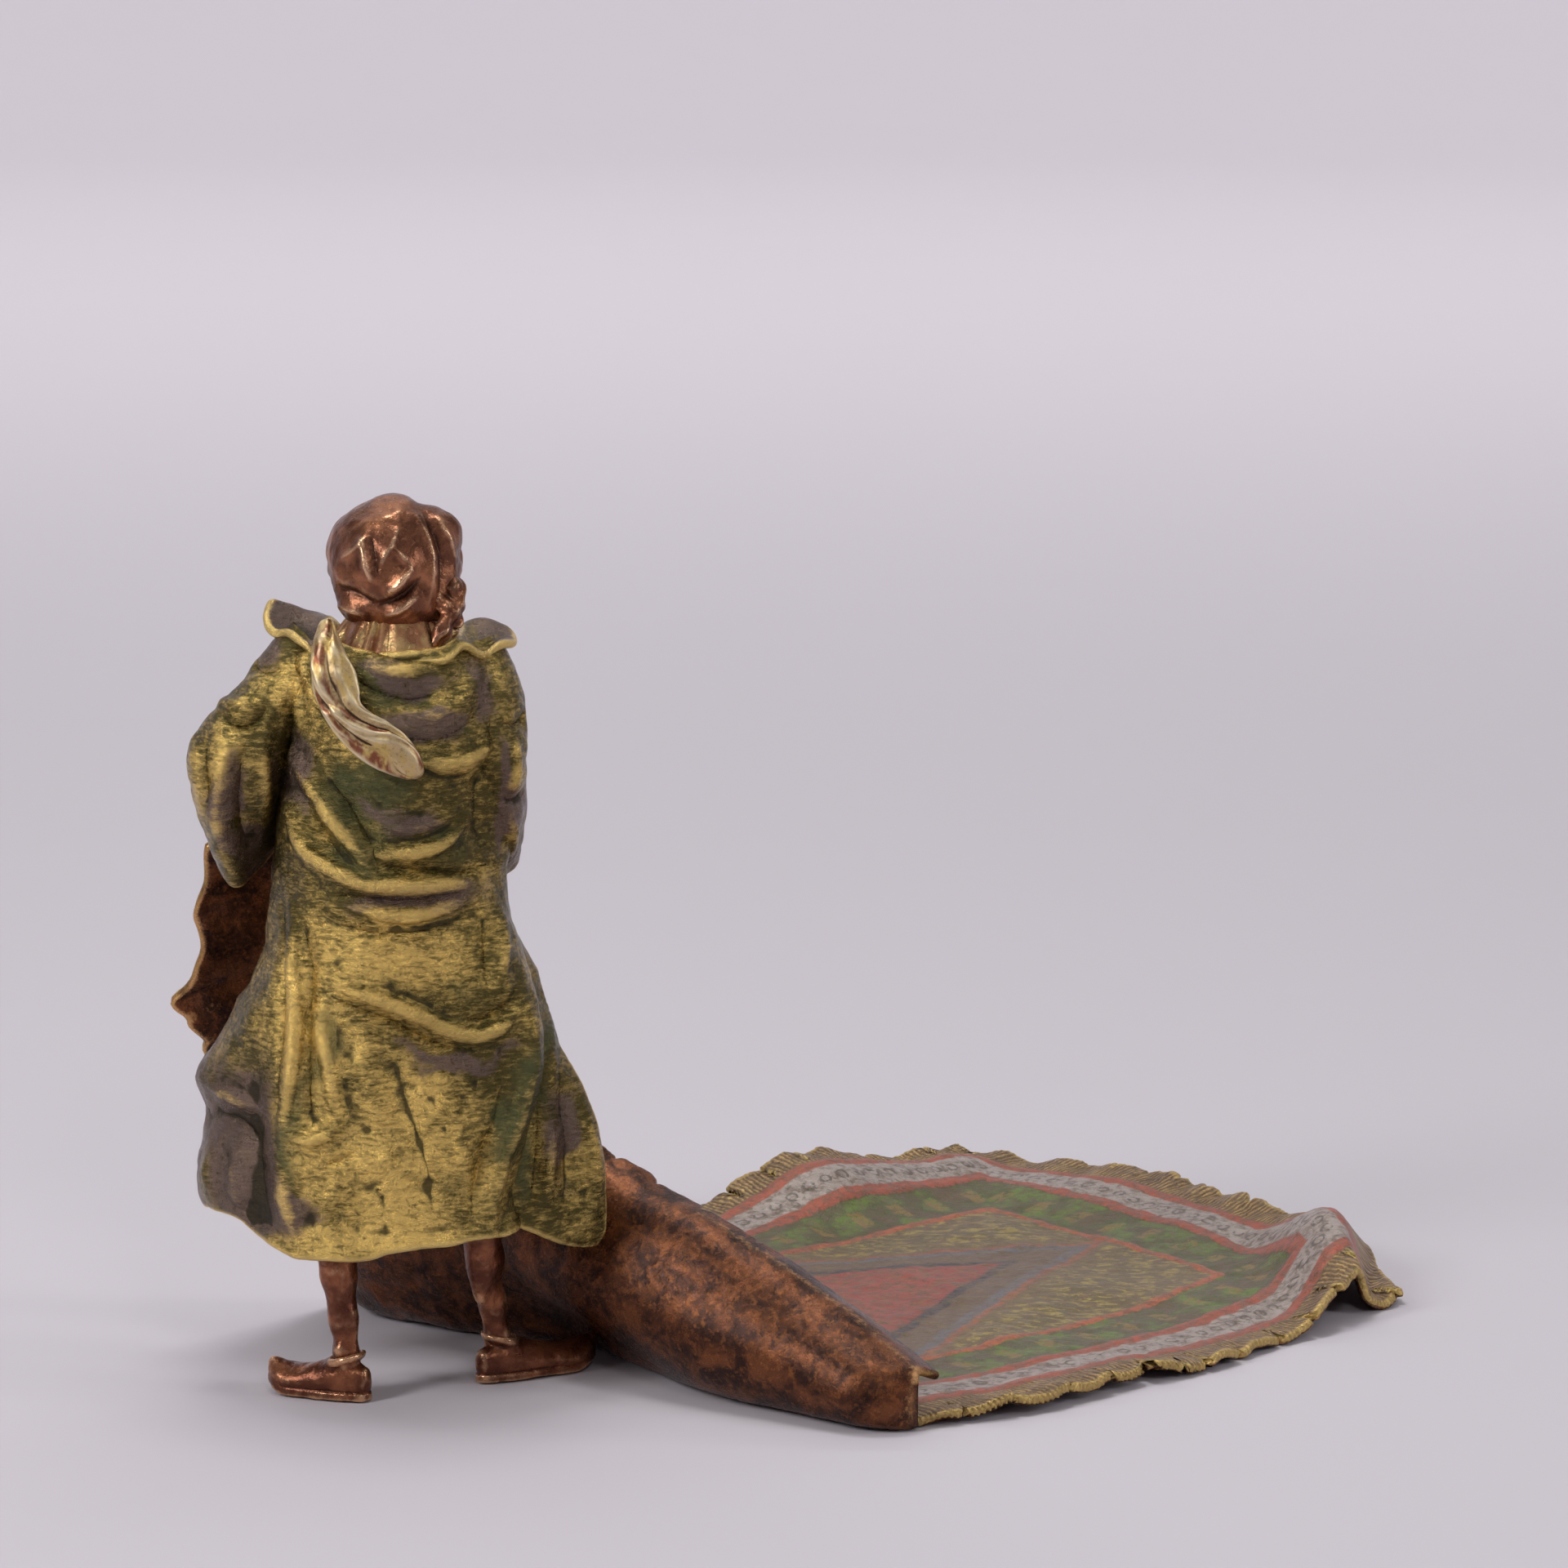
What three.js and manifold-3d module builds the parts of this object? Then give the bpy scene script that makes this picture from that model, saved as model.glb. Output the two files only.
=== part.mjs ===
// Cold-painted bronze statuette: a standing carpet seller lifts the end of a carpet that lies on the ground.
// It is an assembly of thin castings. Each casting is a mesh of its own, and pegs, sockets, pins and rivets
// hold them together.
// Millimetres, +Z up. The figure faces -Y, so its left side is at +X. The carpet runs to its right, to -X.
import * as THREE from "three";
import { mergeVertices } from "three/addons/utils/BufferGeometryUtils.js";
import Module from "manifold-3d";

const wasm = await Module();
wasm.setup();

// ---------------------------------------------------------------- driving dimensions
const SHEET = 1.8; // wall of a cast sheet: cloak, collar and carpet
const GAP = 0.3; // solder gap between two castings
const SMALLEST_DETAIL = 0.03; // slivers thinner than this are smoothed out of a finished piece
const HALF = SHEET / 2;
const BASE_CENTRE = new THREE.Vector3(68.41, 60.63, 0); // from below the figure to the middle of the piece

const ROLL_START = new THREE.Vector3(-84.4, 24.3, 0); // near end of the line where it leaves the ground
const ROLL_END = new THREE.Vector3(12.3, -60.1, 0); // far end of that line
const CARPET_CORNER = new THREE.Vector3(-175.5, -54, 0); // outer corners of the flat field
const CARPET_FAR_CORNER = new THREE.Vector3(-94, -149.5, 0);
const FAR_EDGE_BULGE = 15; // how far the far edge stands out from the line between its corners
const FRINGE_SHARE = 1 / 12; // share of the field's length and width that is fringe, at each edge
const FRINGE_WAVE = 0.9; // how far the fringe wanders in and out along an edge
// Where the flat field lifts off the ground: a spot along the roll (u) and out from it (v), reach and height.
const CURL_SPOTS = [
  { u: 0.04, v: 0.89, reachU: 0.2, reachV: 0.09, height: 8 },
  { u: 0.16, v: 0.92, reachU: 0.18, reachV: 0.08, height: 11 },
  { u: 1, v: 0.72, reachU: 0.24, reachV: 0.22, height: 8 },
  { u: 1, v: 1, reachU: 0.16, reachV: 0.2, height: 4 },
  { u: 0.62, v: 1, reachU: 0.15, reachV: 0.1, height: 2 },
];

const TUNIC_HEM = 33;
const TUNIC_FLOOR = 47; // top of the hollow under the tunic, where the legs plug in
const LEG_PEG = { radius: 3, top: 57 };
const NECK_PEG = { radius: 3.4, bottom: 120, seat: 131 };
const PIN_RADIUS = 0.8;
const RIVET_RADIUS = 0.6;
const FINGER = { grip: 4.4 };

// ---------------------------------------------------------------- curves and surfaces
const at = (x, y, z) => new THREE.Vector3(x, y, z);

// Smooth values between rows of [position, value, value, ...].
function track(rows) {
  const size = rows[0].length - 1;
  const positions = rows.map((row) => row[0]);
  const values = rows.flatMap((row) => row.slice(1));
  const spline = new THREE.CubicInterpolant(positions, values, size, new Array(size));
  return (position) => [...spline.evaluate(position)];
}

// A surface through columns of [u, [[x, y, z], ...]]: u runs from column to column and v along each column.
function patch(columns) {
  const across = track(columns.map(([u, points]) => [u, ...points.flat()]));
  const known = new Map();
  const columnAt = (u) => {
    if (!known.has(u)) {
      const flat = across(u);
      const points = [];
      for (let i = 0; i < flat.length; i += 3) points.push(new THREE.Vector3().fromArray(flat, i));
      known.set(u, new THREE.CatmullRomCurve3(points, false, "centripetal"));
    }
    return known.get(u);
  };
  return (u, v) => columnAt(u).getPoint(v);
}

function normalOf(surface, u, v) {
  const step = 0.01;
  const low = (t) => Math.max(0, t - step);
  const high = (t) => Math.min(1, t + step);
  const alongU = surface(high(u), v).sub(surface(low(u), v));
  const alongV = surface(u, high(v)).sub(surface(u, low(v)));
  return alongU.cross(alongV).normalize();
}

// ---------------------------------------------------------------- solids
function solidOf(geometry) {
  const bare = new THREE.BufferGeometry();
  bare.setAttribute("position", geometry.getAttribute("position").clone());
  if (geometry.index) bare.setIndex(geometry.index.clone());
  const merged = mergeVertices(bare, 1e-4);
  const points = merged.getAttribute("position").array;
  const triangles = new Uint32Array(merged.index.array);
  const vertProperties = new Float32Array(points);
  const make = (triVerts) => new wasm.Manifold(new wasm.Mesh({ numProp: 3, vertProperties, triVerts }));
  const made = make(triangles);
  if (made.volume() > 0) return made;
  for (let i = 0; i < triangles.length; i += 3) {
    [triangles[i + 1], triangles[i + 2]] = [triangles[i + 2], triangles[i + 1]];
  }
  return make(triangles);
}

function fromGrid(points, triangles) {
  const geometry = new THREE.BufferGeometry().setFromPoints(points);
  geometry.setIndex(triangles);
  return solidOf(geometry);
}

// How far to move a point on the border of a surface, so that the surface grows past its edge.
function pastEdge(surface, u, v, grow) {
  const step = 0.01;
  const move = at(0, 0, 0);
  const outward = (inner) => surface(u, v).sub(inner).normalize().multiplyScalar(grow);
  if (u === 0) move.add(outward(surface(step, v)));
  if (u === 1) move.add(outward(surface(1 - step, v)));
  if (v === 0) move.add(outward(surface(u, step)));
  if (v === 1) move.add(outward(surface(u, 1 - step)));
  return move;
}

// A sheet of even thickness on a surface, closed all round. It can grow on every side, to clear room for it.
function sheet(surface, stepsU, stepsV, grow = 0) {
  const points = [];
  for (const side of [1, -1]) {
    for (let i = 0; i <= stepsU; i++) {
      for (let j = 0; j <= stepsV; j++) {
        const u = i / stepsU;
        const v = j / stepsV;
        const point = surface(u, v).addScaledVector(normalOf(surface, u, v), side * (HALF + grow));
        points.push(point.add(pastEdge(surface, u, v, grow)));
      }
    }
  }
  const layer = (stepsU + 1) * (stepsV + 1);
  const index = (side, i, j) => side * layer + i * (stepsV + 1) + j;
  const triangles = [];
  const quad = (a, b, c, d) => triangles.push(a, b, c, a, c, d);
  for (let i = 0; i < stepsU; i++) {
    for (let j = 0; j < stepsV; j++) {
      quad(index(0, i, j), index(0, i + 1, j), index(0, i + 1, j + 1), index(0, i, j + 1));
      quad(index(1, i, j), index(1, i, j + 1), index(1, i + 1, j + 1), index(1, i + 1, j));
    }
    quad(index(0, i + 1, 0), index(0, i, 0), index(1, i, 0), index(1, i + 1, 0));
    quad(index(0, i, stepsV), index(0, i + 1, stepsV), index(1, i + 1, stepsV), index(1, i, stepsV));
  }
  for (let j = 0; j < stepsV; j++) {
    quad(index(0, 0, j), index(0, 0, j + 1), index(1, 0, j + 1), index(1, 0, j));
    quad(index(0, stepsU, j + 1), index(0, stepsU, j), index(1, stepsU, j), index(1, stepsU, j + 1));
  }
  return fromGrid(points, triangles);
}

// A rounded body through stations of [x, y, z, half width, half height], with sections square to its path.
function limb(stations, { sides = 12, steps = 8, grow = 0, up = [0, 0, 1] } = {}) {
  const centres = stations.map((s) => at(s[0], s[1], s[2]));
  const path = new THREE.CatmullRomCurve3(centres, false, "centripetal");
  const radii = track(stations.map((s, i) => [i / (stations.length - 1), s[3], s[4] ?? s[3]]));
  const reference = at(...up);
  const points = [];
  for (let i = 0; i <= steps; i++) {
    const t = i / steps;
    const centre = path.getPoint(t);
    const along = path.getTangent(t);
    if (i === 0) centre.addScaledVector(along, -grow);
    if (i === steps) centre.addScaledVector(along, grow);
    const side = new THREE.Vector3().crossVectors(reference, along).normalize();
    const over = new THREE.Vector3().crossVectors(along, side);
    const [width, height] = radii(t);
    for (let k = 0; k < sides; k++) {
      const angle = (2 * Math.PI * k) / sides;
      const point = centre.clone().addScaledVector(side, (width + grow) * Math.cos(angle));
      points.push(point.addScaledVector(over, (height + grow) * Math.sin(angle)));
    }
  }
  const triangles = [];
  for (let i = 0; i < steps; i++) {
    for (let k = 0; k < sides; k++) {
      const next = (k + 1) % sides;
      const [a, b] = [i * sides + k, i * sides + next];
      triangles.push(a, b, b + sides, a, b + sides, a + sides);
    }
  }
  const last = steps * sides;
  for (let k = 1; k < sides - 1; k++) triangles.push(0, k + 1, k, last, last + k, last + k + 1);
  return fromGrid(points, triangles);
}

function ball(centre, radii, grow = 0) {
  const geometry = new THREE.SphereGeometry(1, 14, 10);
  geometry.scale(radii[0] + grow, radii[1] + grow, radii[2] + grow);
  geometry.translate(...centre);
  return solidOf(geometry);
}

// A round bar between two points.
function bar(from, to, radius, sides = 12) {
  const along = to.clone().sub(from);
  const geometry = new THREE.CylinderGeometry(radius, radius, along.length(), sides);
  const turn = new THREE.Quaternion().setFromUnitVectors(at(0, 1, 0), along.clone().normalize());
  geometry.applyQuaternion(turn).translate(...from.clone().add(to).multiplyScalar(0.5).toArray());
  return solidOf(geometry);
}

function block(low, high) {
  const geometry = new THREE.BoxGeometry(high[0] - low[0], high[1] - low[1], high[2] - low[2]);
  geometry.translate((low[0] + high[0]) / 2, (low[1] + high[1]) / 2, (low[2] + high[2]) / 2);
  return solidOf(geometry);
}

// The largest body that is left after a cut.
function largest(solid) {
  return solid.decompose().sort((a, b) => b.volume() - a.volume())[0];
}

const cut = (solid, ...tools) => largest(tools.reduce((left, tool) => left.subtract(tool), solid));
const join = (...solids) => solids.reduce((all, one) => all.add(one));
const GROUND = block([-300, -300, -50], [300, 300, 0]);

// ---------------------------------------------------------------- carpet
const rollAxis = ROLL_END.clone().sub(ROLL_START);
const rollLength = rollAxis.length();
const alongRoll = rollAxis.clone().normalize();
const outOfField = at(-alongRoll.y, alongRoll.x, 0); // level and square to the roll, towards the figure

// Sections of the lifted end. Each point is [shift along the roll, distance out of the field, height].
const LIFT_SECTIONS = [
  [0, [[0, 0, 0.9], [0, 4.2, 2.2], [0, 5.5, 5.5], [0, 2.8, 8.8], [0, -3, 9.6], [0, -9, 8.2]]],
  [0.15, [[0, 0, 0.9], [0, 5, 1.8], [0, 8.2, 7], [0, 6, 14], [0, -1, 18.9], [0, -7.5, 17.6]]],
  [0.3, [[0, -0.5, 0.9], [0, 5.5, 1.7], [0, 11, 8], [0, 9.6, 18], [0, 2.4, 26.8], [0, -3.5, 27.2]]],
  [0.45, [[0, -3, 0.9], [0, 1.5, 1.7], [0, 8, 9], [0, 12, 20], [0, 4.4, 32.8], [0, -1.5, 34]]],
  [0.6, [[0, -5, 0.9], [0, -1.5, 1.9], [0, 3, 8], [-1, 11.5, 16], [-3, 11, 31], [-4.3, 4, 46]]],
  [0.72, [[0, -2, 0.9], [0, 3.5, 1.9], [0, 8.5, 9], [-3, 13, 24], [-7, 11.5, 48], [-10.2, 7.6, 74]]],
  [0.8, [[0, 0, 0.9], [0, 6, 1.8], [-1, 11, 9], [-5, 15.5, 28], [-10, 13.5, 58], [-14.3, 10.3, 89]]],
  [0.9, [[0, 0, 0.9], [0, 7, 1.8], [-1, 13, 10], [-4, 18, 30], [-8, 21, 60], [-10.6, 23.5, 90]]],
  [0.955, [[0, 0, 0.9], [0, 6, 2.6], [0, 13, 12], [-2, 22, 32], [-4, 31, 62], [-8.5, 34.2, 97]]],
  [1, [[0, 0, 0.9], [0, 5, 4], [0, 13.3, 15], [-1, 26, 36], [-1.4, 41.4, 58], [-9.1, 42.6, 91]]],
];

function onRoll(u, shift, out, height) {
  const point = ROLL_START.clone().addScaledVector(alongRoll, u * rollLength + shift);
  return point.addScaledVector(outOfField, out).setZ(height);
}

const liftedSurface = patch(
  LIFT_SECTIONS.map(([u, points]) => [u, points.map((p) => onRoll(u, ...p).toArray())]),
);
const liftedEnd = (grow = 0) => sheet(liftedSurface, 28, 12, grow);

// A smooth hill of height 1 that is exactly flat beyond its reach.
function hill(u, v, spot) {
  const share = Math.min(1, Math.hypot((u - spot.u) / spot.reachU, (v - spot.v) / spot.reachV));
  return (1 - share * share) ** 2;
}

// 0 over the field, rising to 1 at the rim of the fringe.
const inFringe = (share) => Math.max(0, (share - 1 + FRINGE_SHARE) / FRINGE_SHARE);

function fieldSurface(u, v) {
  const joint = liftedSurface(u, 0).addScaledVector(outOfField, -GAP);
  const fromMiddle = Math.abs(2 * u - 1);
  const farEdge = CARPET_CORNER.clone().lerp(CARPET_FAR_CORNER, u).setZ(HALF);
  farEdge.addScaledVector(outOfField, -FAR_EDGE_BULGE * (1 - fromMiddle ** 3));
  const point = joint.lerp(farEdge, v);
  const sideWave = FRINGE_WAVE * Math.sin(38 * v) * Math.sign(u - 0.5);
  const farWave = FRINGE_WAVE * Math.sin(33 * u);
  point.addScaledVector(alongRoll, sideWave * inFringe(fromMiddle));
  point.addScaledVector(outOfField, -farWave * inFringe(v));
  const lifts = CURL_SPOTS.map((spot) => spot.height * hill(u, v, spot));
  return point.setZ(HALF + Math.max(...lifts));
}

const carpetField = cut(sheet(fieldSurface, 26, 40), liftedEnd(GAP / 2));
const carpetRaisedEnd = liftedEnd();

// A bead of solder lies in the fold, over the joint of the two carpet castings.
const SOLDER_RADIUS = 0.5;
const seamPoints = Array.from({ length: 17 }, (_, i) => liftedSurface((i + 0.5) / 17, 0));
const solderHeight = SHEET + GAP + SOLDER_RADIUS;
const seamSolder = cut(
  limb(seamPoints.map((p) => [p.x, p.y, solderHeight, SOLDER_RADIUS]), { sides: 6, steps: 16 }),
  liftedEnd(GAP),
);

// ---------------------------------------------------------------- legs and slippers
const LEFT_LEG = [
  [10.2, 3.9, 3, 2.3], [10.1, 4, 8, 2.2], [10.6, 3.5, 14, 2.3], [11.5, 2.7, 22, 2.8],
  [11.9, 2, 30, 3.3], [11.4, 1, 40, 4], [10.5, 0.5, TUNIC_FLOOR - GAP, 4.5],
];
const RIGHT_LEG = [
  [-15.8, -8.6, 3, 2.3], [-15.5, -8.4, 8, 2.3], [-14.8, -7.2, 14, 2.4], [-13.6, -5, 22, 2.9],
  [-12.6, -2.8, 30, 3.5], [-11.2, -0.8, 40, 4.2], [-10.5, 0, TUNIC_FLOOR - GAP, 4.5],
];
const FOOT_LENGTH = 21;
// Along a slipper from heel to toe: distance, centre height, half width, half height.
const SLIPPER_SECTIONS = [
  [0, 4.2, 2.4, 3.4], [3, 4, 3.7, 4.4], [8, 3.2, 4.1, 3.6], [14, 2.6, 4.3, 3.1],
  [18.5, 2.9, 3.4, 2.7], [FOOT_LENGTH, 3.9, 1.5, 1.5],
];
const LEFT_FOOT = { heel: at(5.9, 5.9, 0), towards: at(0.905, -0.425, 0) };
const RIGHT_FOOT = { heel: at(-12.2, -6, 0), towards: at(-0.844, -0.536, 0) };

function leg(stations, foot, grow = 0) {
  const [x, y, floor] = stations.at(-1);
  const instep = foot.heel.clone().addScaledVector(foot.towards, 9.5).setZ(5.2);
  return join(
    limb(stations, { grow, up: [0, 1, 0], sides: 12, steps: 8 }),
    ball(instep.toArray(), [4.6, 3, 2.6], grow),
    bar(at(x, y, floor - 4), at(x, y, LEG_PEG.top + grow), LEG_PEG.radius + grow),
  );
}

function slipper(foot) {
  const stations = SLIPPER_SECTIONS.map(([along, height, width, rise]) => {
    const centre = foot.heel.clone().addScaledVector(foot.towards, along);
    return [centre.x, centre.y, height, width, rise];
  });
  return limb(stations, { sides: 12, steps: 8 }).subtract(GROUND);
}

const pinHole = (from, to, radius) => bar(from, to, radius + GAP);
const legPin = (stations) => {
  const [x, y] = stations.at(-1);
  return [at(x, y - 5.5, 52), at(x, y + 5.5, 52)];
};
const leftLegPin = legPin(LEFT_LEG);
const rightLegPin = legPin(RIGHT_LEG);
const leftLeg = cut(leg(LEFT_LEG, LEFT_FOOT), pinHole(...leftLegPin, PIN_RADIUS));
const rightLeg = cut(leg(RIGHT_LEG, RIGHT_FOOT), pinHole(...rightLegPin, PIN_RADIUS));
const leftSlipper = cut(slipper(LEFT_FOOT), leg(LEFT_LEG, LEFT_FOOT, GAP));
const rightSlipper = cut(slipper(RIGHT_FOOT), leg(RIGHT_LEG, RIGHT_FOOT, GAP));

// ---------------------------------------------------------------- head
const HEAD = { centre: [0.3, -5, 142], radii: [7.4, 9, 9.8] };
const NECK_LINE = [[0.2, -3.2, 137, 5, 5.2], [0, -2, NECK_PEG.seat, 5.6, 5.6]];
const FACE_FEATURES = [
  { centre: [0.3, -13.6, 141], radii: [1.3, 1.9, 2.3] }, // nose
  { centre: [0.3, -12.2, 144.2], radii: [4.6, 1.6, 1.1] }, // brow
  { centre: [0.3, -12, 137.6], radii: [3.4, 2, 1.3] }, // moustache
  { centre: [0.3, -9.6, 134], radii: [4.4, 3.9, 5] }, // beard
];

function headBody(grow = 0) {
  return join(
    ball(HEAD.centre, HEAD.radii, grow),
    ...FACE_FEATURES.map((feature) => ball(feature.centre, feature.radii, grow)),
    limb(NECK_LINE, { grow, up: [0, 1, 0], sides: 14, steps: 3 }),
    bar(at(0, -2, NECK_PEG.bottom - grow), at(0, -2, NECK_PEG.seat + 2), NECK_PEG.radius + grow),
  );
}

const neckPin = [at(-5.8, -2, 124.5), at(5.8, -2, 124.5)];
const head = cut(headBody(), pinHole(...neckPin, PIN_RADIUS));

// ---------------------------------------------------------------- tunic, the core that the rest fastens to
// Height, centre x, centre y, half width, half depth.
const TUNIC_LEVELS = [
  [TUNIC_HEM, -0.5, -2, 18.3, 12.5], [TUNIC_FLOOR, -0.5, -2, 17.2, 12.2], [60, -0.4, -2, 16, 12],
  [75, -0.3, -2, 15, 11.3], [90, -0.2, -2, 14.2, 10.8], [105, 0, -2, 14, 10.5], [116, 0, -2, 13.5, 10],
  [124, 0, -2, 12, 9], [129, 0, -2, 8, 7.2], [NECK_PEG.seat - GAP, 0, -2, 6.4, 6.2],
];

function tunicBody(grow = 0, levels = TUNIC_LEVELS, steps = 10) {
  const stations = levels.map(([z, x, y, width, depth]) => [x, y, z, width, depth]);
  return limb(stations, { grow, up: [0, 1, 0], sides: 20, steps });
}

const hemHollow = tunicBody(-SHEET, [
  [TUNIC_HEM - 4, -0.5, -2, 18.5, 12.5],
  [TUNIC_HEM, -0.5, -2, 18.3, 12.5],
  [TUNIC_FLOOR + SHEET, -0.5, -2, 17.2, 12.2],
], 4);
const leftArmPin = [at(7, 0, 118), at(21, 1.2, 118.6)];
const rightArmPin = [at(-7, 0, 118), at(-17.5, 0.6, 118.4)];
const tunic = cut(
  tunicBody(),
  hemHollow,
  leg(LEFT_LEG, LEFT_FOOT, GAP),
  leg(RIGHT_LEG, RIGHT_FOOT, GAP),
  headBody(GAP),
  ...[leftLegPin, rightLegPin, neckPin].map((pin) => pinHole(...pin, PIN_RADIUS)),
  ...[leftArmPin, rightArmPin].map((pin) => pinHole(...pin, PIN_RADIUS)),
);
const tunicRoom = tunicBody(GAP);

// ---------------------------------------------------------------- hands that grip the top edge of the carpet
const LEFT_FOREARM = [[28.5, -4, 102.5, 3.1], [27.5, -12, 99.8, 2.9], [26.2, -20, 97.2, 2.5]];
const RIGHT_FOREARM = [[-16, -4, 99, 3], [-15.2, -12, 95.6, 2.8], [-14, -19.5, 91, 2.5]];
const LEFT_FIST = [25.6, -24.4, 95.6];
const RIGHT_FIST = [-13.4, -24.8, 87.2];
const carpetRoom = liftedEnd(GAP);

function hand(forearm, fist, grow = 0) {
  const grip = [FINGER.grip + 0.2, FINGER.grip, FINGER.grip + 0.1];
  return join(limb(forearm, { grow, sides: 12, steps: 6 }), ball(fist, grip, grow));
}

const rivetLine = ([x, y, z]) => [at(x, y - 3.4, z - 1.2), at(x, y + 3.4, z - 1.2)];
const leftRivet = rivetLine(LEFT_FIST);
const rightRivet = rivetLine(RIGHT_FIST);
const leftRivetHole = pinHole(...leftRivet, RIVET_RADIUS);
const rightRivetHole = pinHole(...rightRivet, RIVET_RADIUS);
const leftHand = cut(hand(LEFT_FOREARM, LEFT_FIST), carpetRoom, tunicRoom, leftRivetHole);
const rightHand = cut(hand(RIGHT_FOREARM, RIGHT_FIST), carpetRoom, tunicRoom, rightRivetHole);
const carpetPierced = cut(carpetRaisedEnd, leftRivetHole, rightRivetHole);

// ---------------------------------------------------------------- sleeves
// From shoulder to cuff. The first radius is front to back, and up and down at the cuff.
// The second is side to side.
const LEFT_SLEEVE = [
  [16.5, 0, 125, 6, 5.6], [23, 1.2, 119, 6.8, 6.2], [28.6, 2, 111.5, 7.4, 6.3], [29.4, -3, 104.5, 9.2, 6.2],
  [28, -11, 99.8, 10.6, 6.6],
];
const RIGHT_SLEEVE = [
  [-13.4, -0.5, 125, 5.8, 5.2], [-15.4, 0.6, 117.5, 5.6, 5], [-15.9, 0.8, 109, 5.8, 5],
  [-15.9, -3.5, 101, 7, 5], [-15.4, -11, 96.8, 7.8, 5.4],
];
const sleeveBody = (stations, grow = 0) => limb(stations, { grow, up: [1, 0, 0], sides: 16, steps: 9 });

// The cuff is an open bell: its hollow ends in front of the elbow.
function sleeve(stations, forearm, fist, armPin) {
  const [elbow, mouth] = stations.slice(-2);
  const beyond = mouth.map((value, i) => (i < 3 ? value + 0.3 * (value - elbow[i]) : value));
  const hollow = limb([elbow, mouth, beyond], { grow: -SHEET, up: [1, 0, 0], sides: 16, steps: 5 });
  return cut(
    sleeveBody(stations),
    hollow,
    tunicRoom,
    hand(forearm, fist, GAP),
    pinHole(...armPin, PIN_RADIUS),
  );
}

const leftSleeve = sleeve(LEFT_SLEEVE, LEFT_FOREARM, LEFT_FIST, leftArmPin);
const rightSleeve = sleeve(RIGHT_SLEEVE, RIGHT_FOREARM, RIGHT_FIST, rightArmPin);
const sleeveRoom = join(sleeveBody(LEFT_SLEEVE, GAP), sleeveBody(RIGHT_SLEEVE, GAP));

// ---------------------------------------------------------------- cloak, open in front
// Columns from the left front edge, round the back, to the right front edge.
// Each runs from the hem to the shoulder.
const CLOAK_COLUMNS = [
  [0, [
    [33.5, -5, 35.5], [33, -5, 48], [32.3, -5, 57], [26.6, -5, 69],
    [21.5, -6, 80], [18.6, -7, 97], [16.6, -8, 112], [10.5, -9, 126],
  ]],
  [0.12, [
    [28, 2, 32], [27.5, 2, 46], [26, 2, 56], [22.5, 2, 67],
    [19.6, 1, 80], [18.4, 0, 97], [17.4, 0, 112], [14, -2, 127],
  ]],
  [0.26, [
    [21, 8, 26.5], [20, 9, 42], [18.8, 9.5, 55], [17.8, 9.5, 68],
    [17, 9, 82], [17.5, 8, 97], [17, 7.5, 112], [14.5, 4, 128],
  ]],
  [0.37, [
    [12, 12.5, 25.5], [12.5, 13, 42], [12, 13, 55], [12, 13, 68],
    [11.5, 12.5, 82], [11.5, 12, 97], [11, 11.5, 112], [10, 7.5, 130],
  ]],
  [0.51, [
    [0, 15, 26.5], [0, 15, 42], [0, 14.5, 55], [0, 14, 68],
    [0, 13.5, 82], [0, 13, 97], [0, 13, 112], [0, 9, 131],
  ]],
  [0.65, [
    [-10, 13, 28.3], [-10, 13.5, 42], [-10, 13.5, 55], [-10, 13, 68],
    [-10, 12.5, 82], [-10, 12, 97], [-10, 11.5, 112], [-9, 8, 131],
  ]],
  [0.77, [
    [-16.5, 9, 30], [-17, 9.5, 42], [-18, 9.5, 55], [-18, 9, 68],
    [-16.5, 8.5, 82], [-16, 8, 97], [-15.8, 7.5, 112], [-14, 4, 129],
  ]],
  [0.88, [
    [-19.6, 2, 33.5], [-20, 2, 43], [-20.2, 2, 55], [-20, 1, 68],
    [-17.8, 0, 82], [-16.8, 0, 97], [-16, -2, 112], [-12, -6, 127],
  ]],
  [1, [
    [-19.6, -5, 34.5], [-19.8, -5, 44], [-19.6, -5, 55], [-18.6, -6, 68],
    [-16.6, -7.5, 82], [-15.2, -8.6, 97], [-14, -9.4, 112], [-8.5, -10, 126],
  ]],
];
const cloakSurface = patch(CLOAK_COLUMNS);
const cloakSheet = (grow = 0) => sheet(cloakSurface, 26, 15, grow);
const cloak = cut(cloakSheet(), tunicRoom, sleeveRoom);
const cloakRoom = cloakSheet(GAP);

// The side of the robe that swings out past the right end of the cloak's back.
const FLAP_COLUMNS = [
  [0, [
    [-20, 3.6, 30.6], [-20.4, 3.6, 38], [-20.6, 3.4, 46],
    [-20.7, 2.8, 56], [-20.4, 1.5, 68], [-18.6, 0, 80],
  ]],
  [0.5, [
    [-27, 0.8, 26.8], [-27.4, 0.8, 36], [-27.1, 0.6, 46],
    [-25.6, 0, 57], [-23.4, -1.2, 69], [-20.4, -2.4, 80.5],
  ]],
  [1, [[-33, -4, 28.4], [-33.8, -4, 36], [-31.7, -4, 47], [-27.4, -4, 58], [-23.6, -4.4, 70], [-20, -5, 81]]],
];
const robeRightFlap = cut(sheet(patch(FLAP_COLUMNS), 8, 12), cloakRoom);

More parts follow.
